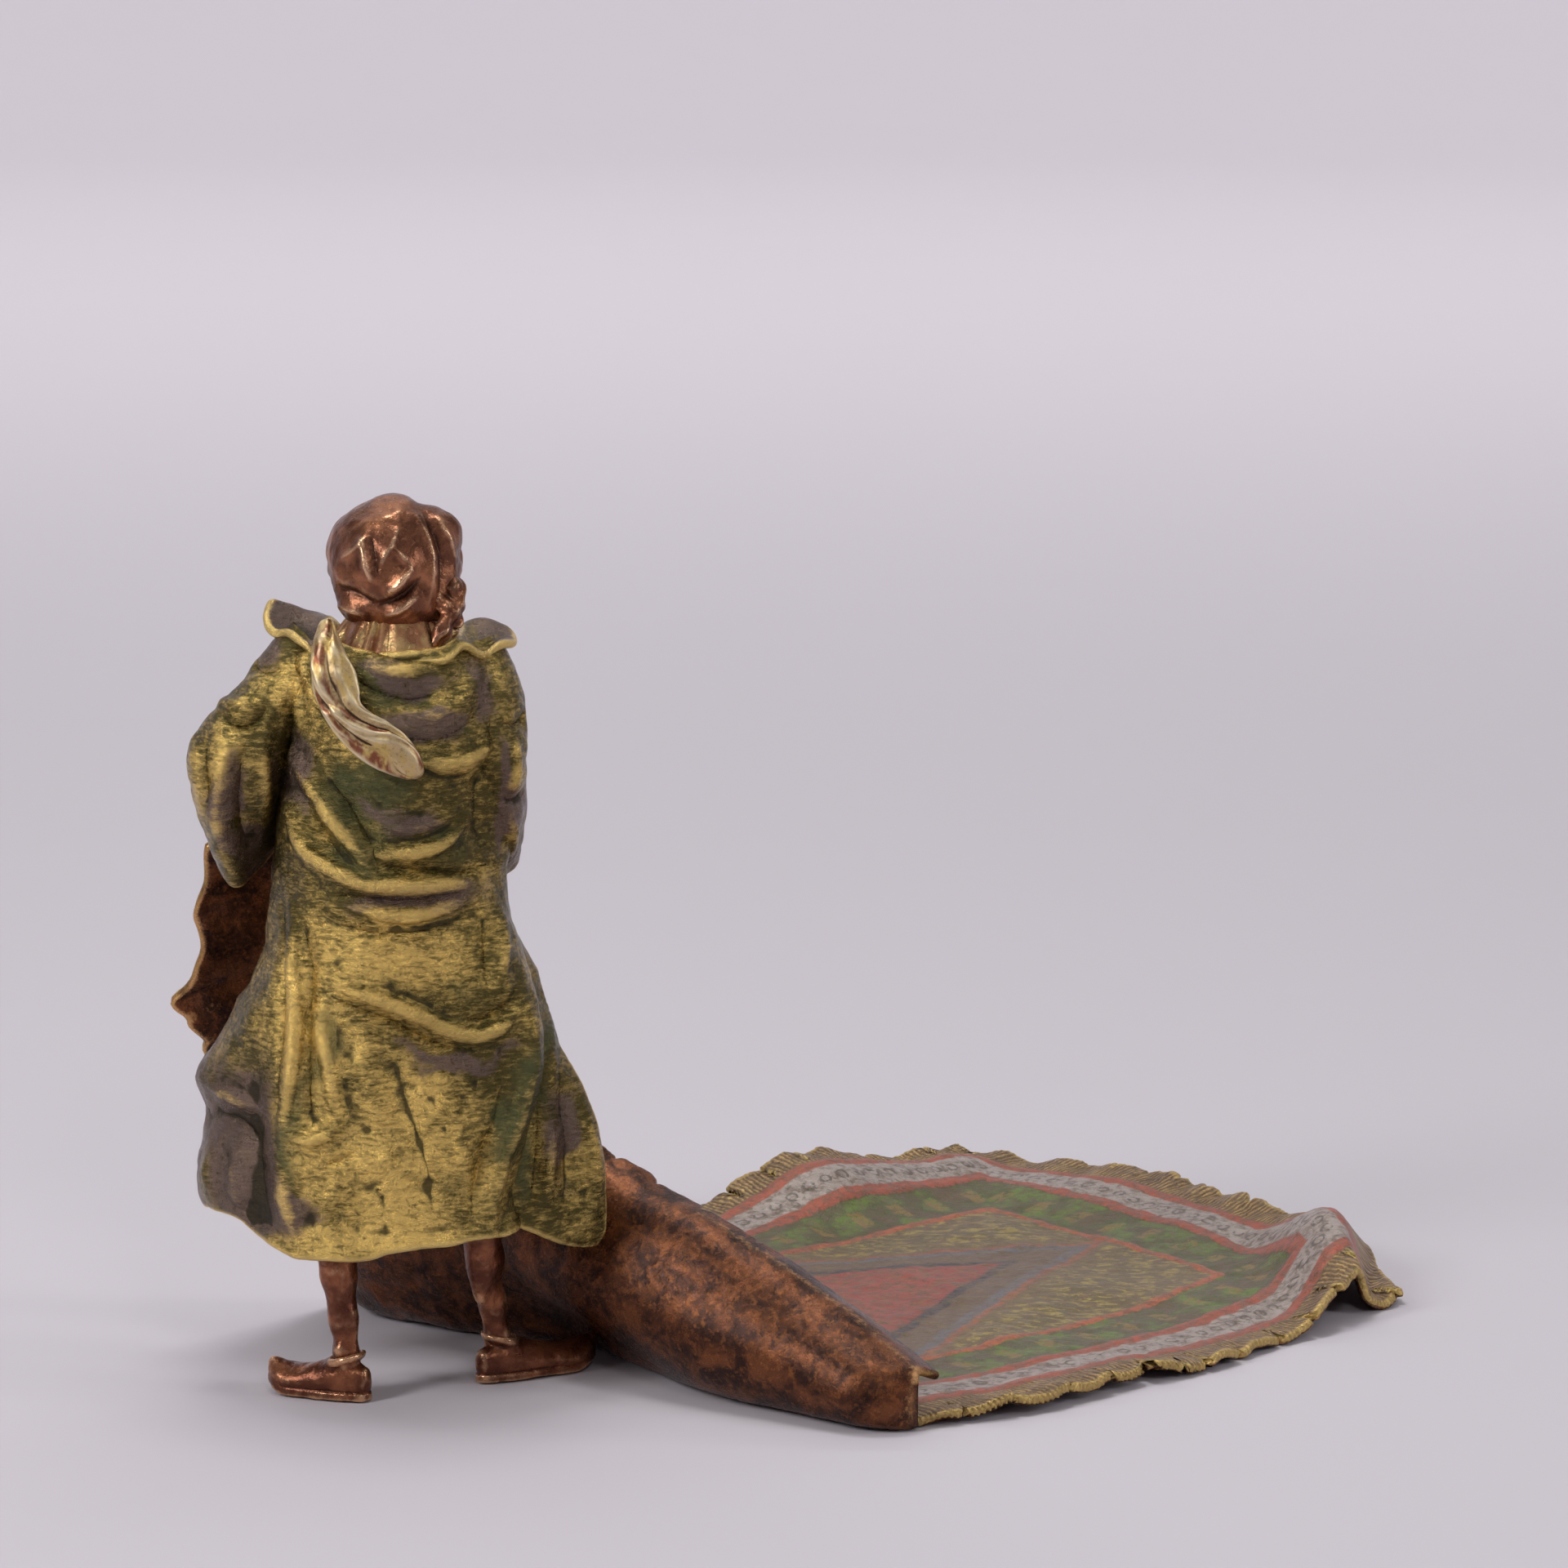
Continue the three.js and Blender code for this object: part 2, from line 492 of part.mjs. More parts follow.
// ---------------------------------------------------------------- head cloth and collar
const CLOTH = { centre: [0.5, -2.4, 143.2], radii: [10.7, 11.7, 10.4] };
const NAPE_LINE = [[0.4, -0.6, 139, 9.2, 9.4], [0.3, -1.2, 131.8, 7.8, 8.2]];
const faceOpening = block([-5.6, -30, 120], [6.2, -8.6, 147.5]);
const clothBody = (grow = 0) =>
  join(ball(CLOTH.centre, CLOTH.radii, grow), limb(NAPE_LINE, { grow, up: [0, 1, 0], sides: 14, steps: 3 }));
const headCloth = cut(clothBody(), headBody(GAP), tunicRoom, faceOpening);
const clothRoom = clothBody(GAP);

const COLLAR_COLUMNS = [
  [0, [[8.5, -9.5, 130.5], [10.4, -10.6, 130.4], [12.6, -11, 131]]],
  [0.16, [[10.6, -3.6, 133], [14.6, -3, 132.6], [20.6, -1.6, 136]]],
  [0.32, [[10.2, 4, 133.4], [13, 6.4, 131.8], [16, 8.6, 131]]],
  [0.5, [[0.2, 9.6, 132.6], [0, 12, 130.4], [0, 13.8, 127.6]]],
  [0.68, [[-9.6, 4.6, 132.4], [-12.4, 7, 130.8], [-15.4, 9, 129]]],
  [0.84, [[-10.4, -3.6, 132.6], [-14, -3, 131.6], [-19.6, -1.6, 131.6]]],
  [1, [[-7.6, -10.4, 130.4], [-9.6, -11.4, 129.8], [-11.6, -12, 130]]],
];
const collarSurface = patch(COLLAR_COLUMNS);
const hoodCollar = cut(sheet(collarSurface, 24, 4), clothRoom, tunicRoom, cloakRoom, sleeveRoom);
const collarRoom = sheet(collarSurface, 24, 4, GAP);

const KNOT_PATH = [
  [-9.4, 1, 141, 1.5], [-11.4, 2.2, 138.2, 2.2], [-11, 4, 135.4, 2], [-9.6, 5.6, 133.2, 1.3],
];
const knotBody = limb(KNOT_PATH, { up: [0, 1, 0], sides: 10, steps: 8 });
const headClothKnot = cut(knotBody, clothRoom, collarRoom, cloakRoom);

// The tail of the head cloth falls over the left shoulder and across the back.
const TAIL_PATH = [
  [13.4, 11.4, 130.4, 2.2, 1.1], [13.6, 12.6, 126, 2.7, 1.3], [12, 14, 121.5, 2.9, 1.4],
  [8.5, 15.2, 116.5, 2.9, 1.4],
  [4, 15.8, 113, 2.8, 1.4], [0, 15.9, 110.6, 2.5, 1.3], [-3.6, 15.6, 108.2, 1.7, 1.1],
];
const tailBody = limb(TAIL_PATH, { up: [0, 1, 0], sides: 12, steps: 14 });
const scarfTail = cut(tailBody, cloakRoom, collarRoom, sleeveRoom);

// ---------------------------------------------------------------- the assembly
const FINISHES = {
  olive_gilt: { color: 0x8f7d38, roughness: 0.42, metalness: 0.85 },
  brown_patina: { color: 0x5a2f1c, roughness: 0.4, metalness: 0.6 },
  cloth_brown: { color: 0x6b3f2e, roughness: 0.45, metalness: 0.55 },
  painted_carpet: { color: 0x6f6650, roughness: 0.55, metalness: 0.25 },
  silvered_scarf: { color: 0xb9a77c, roughness: 0.35, metalness: 0.8 },
  tunic_cream: { color: 0x8d7a58, roughness: 0.5, metalness: 0.4 },
  bare_brass: { color: 0xc9a548, roughness: 0.35, metalness: 1 },
};

const PIECES = [
  ["carpet_field", carpetField, "painted_carpet"],
  ["carpet_raised_end", carpetPierced, "painted_carpet"],
  ["seam_solder", seamSolder, "bare_brass"],
  ["tunic", tunic, "tunic_cream"],
  ["cloak", cloak, "olive_gilt"],
  ["robe_right_flap", robeRightFlap, "olive_gilt"],
  ["hood_collar", hoodCollar, "olive_gilt"],
  ["scarf_tail", scarfTail, "silvered_scarf"],
  ["left_sleeve", leftSleeve, "olive_gilt"],
  ["right_sleeve", rightSleeve, "olive_gilt"],
  ["left_hand", leftHand, "brown_patina"],
  ["right_hand", rightHand, "brown_patina"],
  ["head", head, "brown_patina"],
  ["head_cloth", headCloth, "cloth_brown"],
  ["head_cloth_knot", headClothKnot, "cloth_brown"],
  ["left_leg", leftLeg, "brown_patina"],
  ["right_leg", rightLeg, "brown_patina"],
  ["left_slipper", leftSlipper, "brown_patina"],
  ["right_slipper", rightSlipper, "brown_patina"],
  ["neck_pin", bar(...neckPin, PIN_RADIUS), "bare_brass"],
  ["left_leg_pin", bar(...leftLegPin, PIN_RADIUS), "bare_brass"],
  ["right_leg_pin", bar(...rightLegPin, PIN_RADIUS), "bare_brass"],
  ["left_arm_pin", bar(...leftArmPin, PIN_RADIUS), "bare_brass"],
  ["right_arm_pin", bar(...rightArmPin, PIN_RADIUS), "bare_brass"],
  ["left_hand_rivet", bar(...leftRivet, RIVET_RADIUS), "bare_brass"],
  ["right_hand_rivet", bar(...rightRivet, RIVET_RADIUS), "bare_brass"],
];

function meshOf(name, solid, finish) {
  const made = solid.simplify(SMALLEST_DETAIL).getMesh();
  const geometry = new THREE.BufferGeometry();
  geometry.setAttribute("position", new THREE.BufferAttribute(new Float32Array(made.vertProperties), 3));
  geometry.setIndex(new THREE.BufferAttribute(made.triVerts, 1));
  geometry.computeVertexNormals();
  const mesh = new THREE.Mesh(geometry, new THREE.MeshStandardMaterial(FINISHES[finish]));
  mesh.name = name;
  return mesh;
}

const statuette = new THREE.Group();
statuette.name = "carpet_seller_statuette";
for (const [name, solid, finish] of PIECES) statuette.add(meshOf(name, solid, finish));
statuette.position.copy(BASE_CENTRE);

export default statuette;
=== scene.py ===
# Looks of the cold-painted bronze statuette: a carpet seller who lifts one end of a carpet on the ground.
# Shapes are worked out in millimetres in the figure's own frame: origin on the ground below the figure, +X to
# its left, +Y behind it. SHIFT takes that frame to the frame of the CAD model.
import math

import bpy
import numpy as np
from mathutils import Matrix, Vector


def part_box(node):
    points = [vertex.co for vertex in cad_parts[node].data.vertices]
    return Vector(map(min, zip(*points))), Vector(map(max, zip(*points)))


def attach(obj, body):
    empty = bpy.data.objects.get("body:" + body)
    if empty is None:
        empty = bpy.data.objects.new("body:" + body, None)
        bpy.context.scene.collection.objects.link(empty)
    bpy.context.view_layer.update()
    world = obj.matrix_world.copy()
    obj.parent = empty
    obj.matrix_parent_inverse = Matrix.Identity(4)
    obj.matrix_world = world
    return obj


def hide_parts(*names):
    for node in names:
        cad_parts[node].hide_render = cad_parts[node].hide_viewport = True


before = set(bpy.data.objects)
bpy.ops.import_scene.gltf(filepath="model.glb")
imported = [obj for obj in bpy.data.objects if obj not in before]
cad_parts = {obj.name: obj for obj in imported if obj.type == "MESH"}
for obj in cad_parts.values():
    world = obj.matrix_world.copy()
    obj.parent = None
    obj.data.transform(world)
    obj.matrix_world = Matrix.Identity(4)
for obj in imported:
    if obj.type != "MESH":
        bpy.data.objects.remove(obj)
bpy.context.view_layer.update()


def middle_of(node):
    low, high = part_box(node)
    return (np.array(low) + np.array(high)) * 500.0


NECK_PIN_PLACE = np.array([0.0, -2.0, 124.5])  # middle of the neck pin in the figure's frame
SHIFT = middle_of("neck_pin") - NECK_PIN_PLACE

# ------------------------------------------------------------------ camera
CAMERA = np.array([-64.0, 1054.4, 306.7])
CAMERA_PITCH = math.radians(10.8)
CAMERA_LENS = 147.32
BACK_PLANE = 8.0  # y of the plane through the figure's back on which outlines and folds are laid out


def on_back_plane(points):
    """Where the camera's line of sight to each point crosses the plane through the figure's back: (x, z)."""
    share = (CAMERA[1] - BACK_PLANE) / (CAMERA[1] - points[..., 1])
    x = CAMERA[0] + (points[..., 0] - CAMERA[0]) * share
    z = CAMERA[2] + (points[..., 2] - CAMERA[2]) * share
    return x, z


def seen_at(x, z, y):
    """The point at depth y on the camera's line of sight through (x, z) of the back plane."""
    share = (CAMERA[1] - y) / (CAMERA[1] - BACK_PLANE)
    return np.stack([
        CAMERA[0] + (x - CAMERA[0]) * share,
        np.broadcast_to(y, np.shape(x)).astype(float),
        CAMERA[2] + (z - CAMERA[2]) * share,
    ], -1)


# ------------------------------------------------------------------ curves and noise
def interp(knots, values, where):
    """Smooth cubic curve through values at knots."""
    knots = np.asarray(knots, float)
    values = np.asarray(values, float)
    where = np.clip(np.asarray(where, float), knots[0], knots[-1])
    slopes = np.gradient(values, knots, axis=0)
    i = np.clip(np.searchsorted(knots, where, side="right") - 1, 0, len(knots) - 2)
    span = knots[i + 1] - knots[i]
    t = (where - knots[i]) / span
    extra = (1,) * (values.ndim - 1)
    t = t.reshape(t.shape + extra)
    span = span.reshape(span.shape + extra)
    a, b = values[i], values[i + 1]
    ma, mb = slopes[i] * span, slopes[i + 1] * span
    return (
        a * (2 * t**3 - 3 * t**2 + 1) + ma * (t**3 - 2 * t**2 + t)
        + b * (3 * t**2 - 2 * t**3) + mb * (t**3 - t**2)
    )


def along(points, where):
    """Points at shares of the length of a smooth curve through the given points."""
    points = np.asarray(points, float)
    knots = np.concatenate([[0], np.cumsum(np.linalg.norm(np.diff(points, axis=0), axis=1))])
    return interp(knots / knots[-1], points, where)


def hashed(i, j, k, seed):
    """A repeatable random number from 0 to 1 for each lattice point."""
    mixed = i * 374761393 + j * 668265263 + k * 2147483647 + seed * 974634777
    mixed = (mixed ^ (mixed >> 13)) * 1274126177
    return ((mixed ^ (mixed >> 16)) & 0xFFFF) / 65535.0


def noise(points, size, seed=0):
    """Smooth noise from -1 to 1 with lumps about `size` mm across."""
    p = np.asarray(points, float) / size
    base = np.floor(p).astype(np.int64)
    f = p - base
    f = f * f * (3 - 2 * f)
    total = 0.0
    for corner in range(8):
        o = np.array([corner & 1, corner >> 1 & 1, corner >> 2 & 1])
        q = base + o
        weight = np.prod(np.where(o == 1, f, 1 - f), axis=-1)
        total = total + weight * hashed(q[..., 0], q[..., 1], q[..., 2], seed)
    return total * 2 - 1


def rough(points, size, octaves=3, seed=0):
    """Noise with finer lumps added on the coarse ones."""
    return sum(noise(points, size / 2**n, seed + n) / 1.8**n for n in range(octaves))


def smoothstep(low, high, value):
    t = np.clip((value - low) / (high - low), 0, 1)
    return t * t * (3 - 2 * t)


# ------------------------------------------------------------------ meshes
def unit(vectors):
    return vectors / np.linalg.norm(vectors, axis=1, keepdims=True)


def face_normals(points, faces):
    a, b, c, d = (points[faces[:, corner]] for corner in range(4))
    return np.cross(c - a, d - b)


def vertex_normals(points, faces):
    normals = np.zeros_like(points)
    per_face = face_normals(points, faces)
    for k in range(faces.shape[1]):
        np.add.at(normals, faces[:, k], per_face)
    return normals / np.maximum(np.linalg.norm(normals, axis=1, keepdims=True), 1e-12)


def edges_of(faces):
    pairs = np.concatenate([faces, np.roll(faces, -1, axis=1)], axis=0)
    half = len(faces)
    edges = np.stack([pairs[:half].ravel(), pairs[half:].ravel()], 1)
    return np.unique(np.sort(edges, axis=1), axis=0)


def spread(values, edges, rounds):
    """Points averaged with their neighbours, several times over."""
    values = values.copy()
    count = np.bincount(edges.ravel(), minlength=len(values)).astype(float) + 1
    for _ in range(rounds):
        total = values.copy()
        for axis in range(values.shape[1]):
            total[:, axis] += np.bincount(edges[:, 0], values[edges[:, 1], axis], len(values))
            total[:, axis] += np.bincount(edges[:, 1], values[edges[:, 0], axis], len(values))
        values = total / count[:, None]
    return values


def ridges(points, faces, reach):
    """How far each point stands out of a smoothed copy of its surface, in mm: above 0 on ridges and edges."""
    edges = edges_of(faces)
    length = np.mean(np.linalg.norm(points[edges[:, 0]] - points[edges[:, 1]], axis=1))
    rounds = int(np.clip((reach / length) ** 2, 2, 60))
    normals = vertex_normals(points, faces)
    return ((points - spread(points, edges, rounds)) * normals).sum(1)


def roughened(points, faces, size, octaves, seed, height):
    """Points moved along their normals by fine noise."""
    uneven = rough(points, size, octaves, seed) * height
    return points + vertex_normals(points, faces) * uneven[:, None]


CREASE = 0.03  # how round the line of a fold is: 0 is a knife edge
FOLD_SPREAD = 0.8  # share of a stroke's width that its steep part takes
FOLD_REACH = 3.6  # widths to each side of a stroke beyond which nothing moves
FULL_FACING = 0.15  # how far a surface has to look towards the back to take a stroke at its full height


def carve(points, normals, strokes, depth=1.0):
    """Moves points along their normals by fold strokes laid out on the plane through the figure's back.

    A stroke is (height, width above, width below, [(x, z), ...]). Height above 0 raises a ridge and below 0
    cuts a valley. Only surfaces that look towards the back are carved."""
    x, z = on_back_plane(points)
    toward = smoothstep(0.0, FULL_FACING, normals[:, 1])
    lift = np.zeros(len(points))
    for height, upper, lower, line in strokes:
        line = along(line, np.linspace(0, 1, 14 * len(line)))
        wide = FOLD_REACH * max(upper, lower)
        near = (
            (x > line[:, 0].min() - wide) & (x < line[:, 0].max() + wide)
            & (z > line[:, 1].min() - wide) & (z < line[:, 1].max() + wide) & (toward > 0)
        )
        if not near.any():
            continue
        where = np.flatnonzero(near)
        dx = x[where, None] - line[None, :, 0]
        dz = z[where, None] - line[None, :, 1]
        distance = np.hypot(dx, dz)
        closest = distance.argmin(1)
        rows = np.arange(len(where))
        step = np.gradient(line, axis=0)
        cross = step[closest, 0] * dz[rows, closest] - step[closest, 1] * dx[rows, closest]
        width = np.where(cross > 0, upper, lower) * FOLD_SPREAD
        share = closest / (len(line) - 1)
        taper = np.sin(np.pi * np.clip(share * 0.96 + 0.02, 0, 1)) ** 0.9
        off = np.sqrt((distance[rows, closest] / width) ** 2 + CREASE) - math.sqrt(CREASE)
        lift[where] += depth * height * taper * np.exp(-1.1 * off)
    return points + normals * (lift * toward)[:, None]


def grid_faces(rows, columns, closed=False):
    i, j = np.meshgrid(np.arange(rows if closed else rows - 1), np.arange(columns - 1), indexing="ij")
    here = i * columns + j
    beyond = (i + 1) % rows * columns + j
    return np.stack([here, beyond, beyond + 1, here + 1], -1).reshape(-1, 4)


def grid_normals(grid, closed=False):
    if closed:
        du = np.roll(grid, -1, 0) - np.roll(grid, 1, 0)
    else:
        du = np.gradient(grid, axis=0)
    dv = np.gradient(grid, axis=1)
    n = np.cross(du, dv)
    return n / np.maximum(np.linalg.norm(n, axis=-1, keepdims=True), 1e-12)


RIM_LINES = np.array([0, 0.06, 0.22, 0.5])  # distances from an edge, as shares of the rim's width
ON_EDGE = 1e-9  # mm: a grid point this close to the border is on it


def shares(count, length, rim=1.0):
    """Positions from 0 to 1 with extra lines next to both ends, where a rounded rim bends."""
    close = RIM_LINES * rim / length
    inner = np.linspace(rim / length, 1 - rim / length, count)
    return np.concatenate([close, inner, 1 - close[::-1]])


def border_distance(grid, closed=False, ends=(True, True)):
    """Distance in mm of each grid point from the border, measured along the grid lines."""
    step = np.linalg.norm(np.diff(grid, axis=1), axis=-1)
    run = np.concatenate([np.zeros((len(grid), 1)), np.cumsum(step, 1)], 1)
    distance = np.full(run.shape, 1e9)
    if ends[0]:
        distance = np.minimum(distance, run)
    if ends[1]:
        distance = np.minimum(distance, run[:, -1:] - run)
    if not closed:
        step = np.linalg.norm(np.diff(grid, axis=0), axis=-1)
        run = np.concatenate([np.zeros((1, grid.shape[1])), np.cumsum(step, 0)], 0)
        distance = np.minimum(distance, np.minimum(run, run[-1:] - run))
    return distance


def leaf(grid, half=0.9, closed=False, out=1.0, ends=(True, True)):
    """A sheet with rounded rims about a grid of points.

    Gives points, faces, and for each point its distance from the border and its side: 1 outside, 0 inside."""
    normals = grid_normals(grid, closed) * out
    distance = border_distance(grid, closed, ends)
    bend = 1 - np.clip(distance / half, 0, 1)
    thickness = half * np.sqrt(np.clip(1 - bend**2, 0, 1))
    outer = (grid + normals * thickness[..., None]).reshape(-1, 3)
    inner = (grid - normals * thickness[..., None]).reshape(-1, 3)
    faces = grid_faces(*grid.shape[:2], closed)
    if out < 0:
        faces = faces[:, ::-1]
    count = len(outer)
    rim = distance.ravel() < ON_EDGE
    index = np.where(rim, np.arange(count), np.arange(count) + count)
    points = np.concatenate([outer, inner])
    all_faces = np.concatenate([faces, index[faces][:, ::-1]])
    used = np.zeros(len(points), bool)
    used[all_faces.ravel()] = True
    renumber = np.cumsum(used) - 1
    border = np.concatenate([distance.ravel(), distance.ravel()])[used]
    side = np.concatenate([np.ones(count), np.zeros(count)])[used]
    return points[used], renumber[all_faces], border, side


def on_both_sides(grid, numbers):
    """Numbers given for each grid point, repeated for the points that leaf() makes of an open grid."""
    rim = border_distance(grid, False, (False, True)).ravel() < ON_EDGE
    used = np.concatenate([np.ones(len(rim), bool), ~rim])
    return {name: np.concatenate([values.ravel(), values.ravel()])[used] for name, values in numbers.items()}


def net(field, low, step):
    """A closed surface where a sampled field of signed distances crosses zero."""
    inside = field < 0
    shape = tuple(n - 1 for n in field.shape)
    total = np.zeros(shape + (3,))
    count = np.zeros(shape)
    for axis in range(3):
        others = [a for a in range(3) if a != axis]
        for a in (0, 1):
            for b in (0, 1):
                first = [None] * 3
                first[axis] = slice(0, shape[axis])
                first[others[0]] = slice(a, a + shape[others[0]])
                first[others[1]] = slice(b, b + shape[others[1]])
                second = list(first)
                second[axis] = slice(1, 1 + shape[axis])
                f0, f1 = field[tuple(first)], field[tuple(second)]
                crossed = inside[tuple(first)] != inside[tuple(second)]
                t = np.where(crossed, f0 / np.where(crossed, f0 - f1, 1), 0)
                offset = np.zeros(3)
                offset[others[0]], offset[others[1]] = a, b
                place = np.broadcast_to(offset, shape + (3,)).copy()
                place[..., axis] = t
                total += place * crossed[..., None]
                count += crossed
    active = count > 0
    number = np.full(shape, -1)
    number[active] = np.arange(active.sum())
    cells = np.argwhere(active)
    points = (cells + total[active] / count[active][:, None]) * step + np.asarray(low)
    faces = []
    for axis in range(3):
        u, v = [(1, 2), (2, 0), (0, 1)][axis]
        low_cut = [slice(1, n) for n in shape]
        low_cut[axis] = slice(0, shape[axis])
        high_cut = list(low_cut)
        high_cut[axis] = slice(1, shape[axis] + 1)
        start = inside[tuple(low_cut)]
        crossed = start != inside[tuple(high_cut)]
        spots = np.argwhere(crossed)
        spots[:, [a for a in range(3) if a != axis]] += 1
        steps = [(0, 0), (1, 0), (1, 1), (0, 1)]
        corner = []
        for du, dv in steps:
            cell = spots.copy()
            cell[:, u] -= du
            cell[:, v] -= dv
            corner.append(number[cell[:, 0], cell[:, 1], cell[:, 2]])
        quad = np.stack(corner, 1)
        flip = ~start[crossed]
        quad[flip] = quad[flip][:, ::-1]
        faces.append(quad)
    return points, np.concatenate(faces)


def sampled(shape, low, high, step):
    """The mesh of a signed distance function over a box."""
    low = np.asarray(low, float)
    counts = np.ceil((np.asarray(high) - low) / step).astype(int) + 1
    axes = [low[a] + step * np.arange(counts[a]) for a in range(3)]
    grid = np.stack(np.meshgrid(*axes, indexing="ij"), -1)
    return net(shape(grid), low, step)


# Signed distances, in mm.
def ellipsoid(p, centre, radii):
    q = (p - np.asarray(centre)) / np.asarray(radii)
    near = np.linalg.norm(q, axis=-1)
    steep = np.linalg.norm(q / np.asarray(radii), axis=-1)
    return near * (near - 1) / np.maximum(steep, 1e-9)


def rod(p, a, b, ra, rb):
    """A round bar from a to b whose radius changes evenly."""
    a, b = np.asarray(a, float), np.asarray(b, float)
    axis = b - a
    t = np.clip(((p - a) @ axis) / (axis @ axis), 0, 1)
    return np.linalg.norm(p - (a + t[..., None] * axis), axis=-1) - (ra + (rb - ra) * t)


def chain(p, stations, blend=0.8):
    """Bars through stations of (x, y, z, radius)."""
    result = None
    for first, second in zip(stations[:-1], stations[1:]):
        piece = rod(p, first[:3], second[:3], first[3], second[3])
        result = piece if result is None else melt(result, piece, blend)
    return result


def melt(a, b, blend):
    """Two shapes joined with a soft fillet."""
    h = np.clip(0.5 + 0.5 * (b - a) / blend, 0, 1)
    return b * (1 - h) + a * h - blend * h * (1 - h)


def scoop(a, b, blend):
    """Shape a with shape b taken out, with a soft edge."""
    return -melt(-a, b, blend)


def add_mesh(name, points, faces, materials, slots=None, values=None):
    """A Blender object from points in the figure's frame. values are named numbers for each point."""
    mesh = bpy.data.meshes.new(name)
    placed = (points + SHIFT) / 1000.0
    mesh.from_pydata(placed.tolist(), [], np.asarray(faces).tolist())
    for material in materials:
        mesh.materials.append(material)
    if slots is not None:
        mesh.polygons.foreach_set("material_index", np.asarray(slots, np.int32))
    mesh.polygons.foreach_set("use_smooth", np.ones(len(faces), bool))
    for key, numbers in (values or {}).items():
        made = mesh.attributes.new(key, "FLOAT", "POINT")
        made.data.foreach_set("value", np.asarray(numbers, np.float32))
    mesh.update()
    piece = bpy.data.objects.new(name, mesh)
    bpy.context.scene.collection.objects.link(piece)
    return piece


def add_piece(name, points, faces, material, nodes, values=None, reach=1.2, slots=None):
    """A finished piece of the statuette: it stands for its CAD nodes and rides with the one rigid body."""
    numbers = {"ridge": ridges(points, faces, reach)}
    numbers.update(values or {})
    materials = material if isinstance(material, list) else [material]
    piece = add_mesh(name, points, faces, materials, slots, numbers)
    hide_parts(*nodes)
    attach(piece, "root")


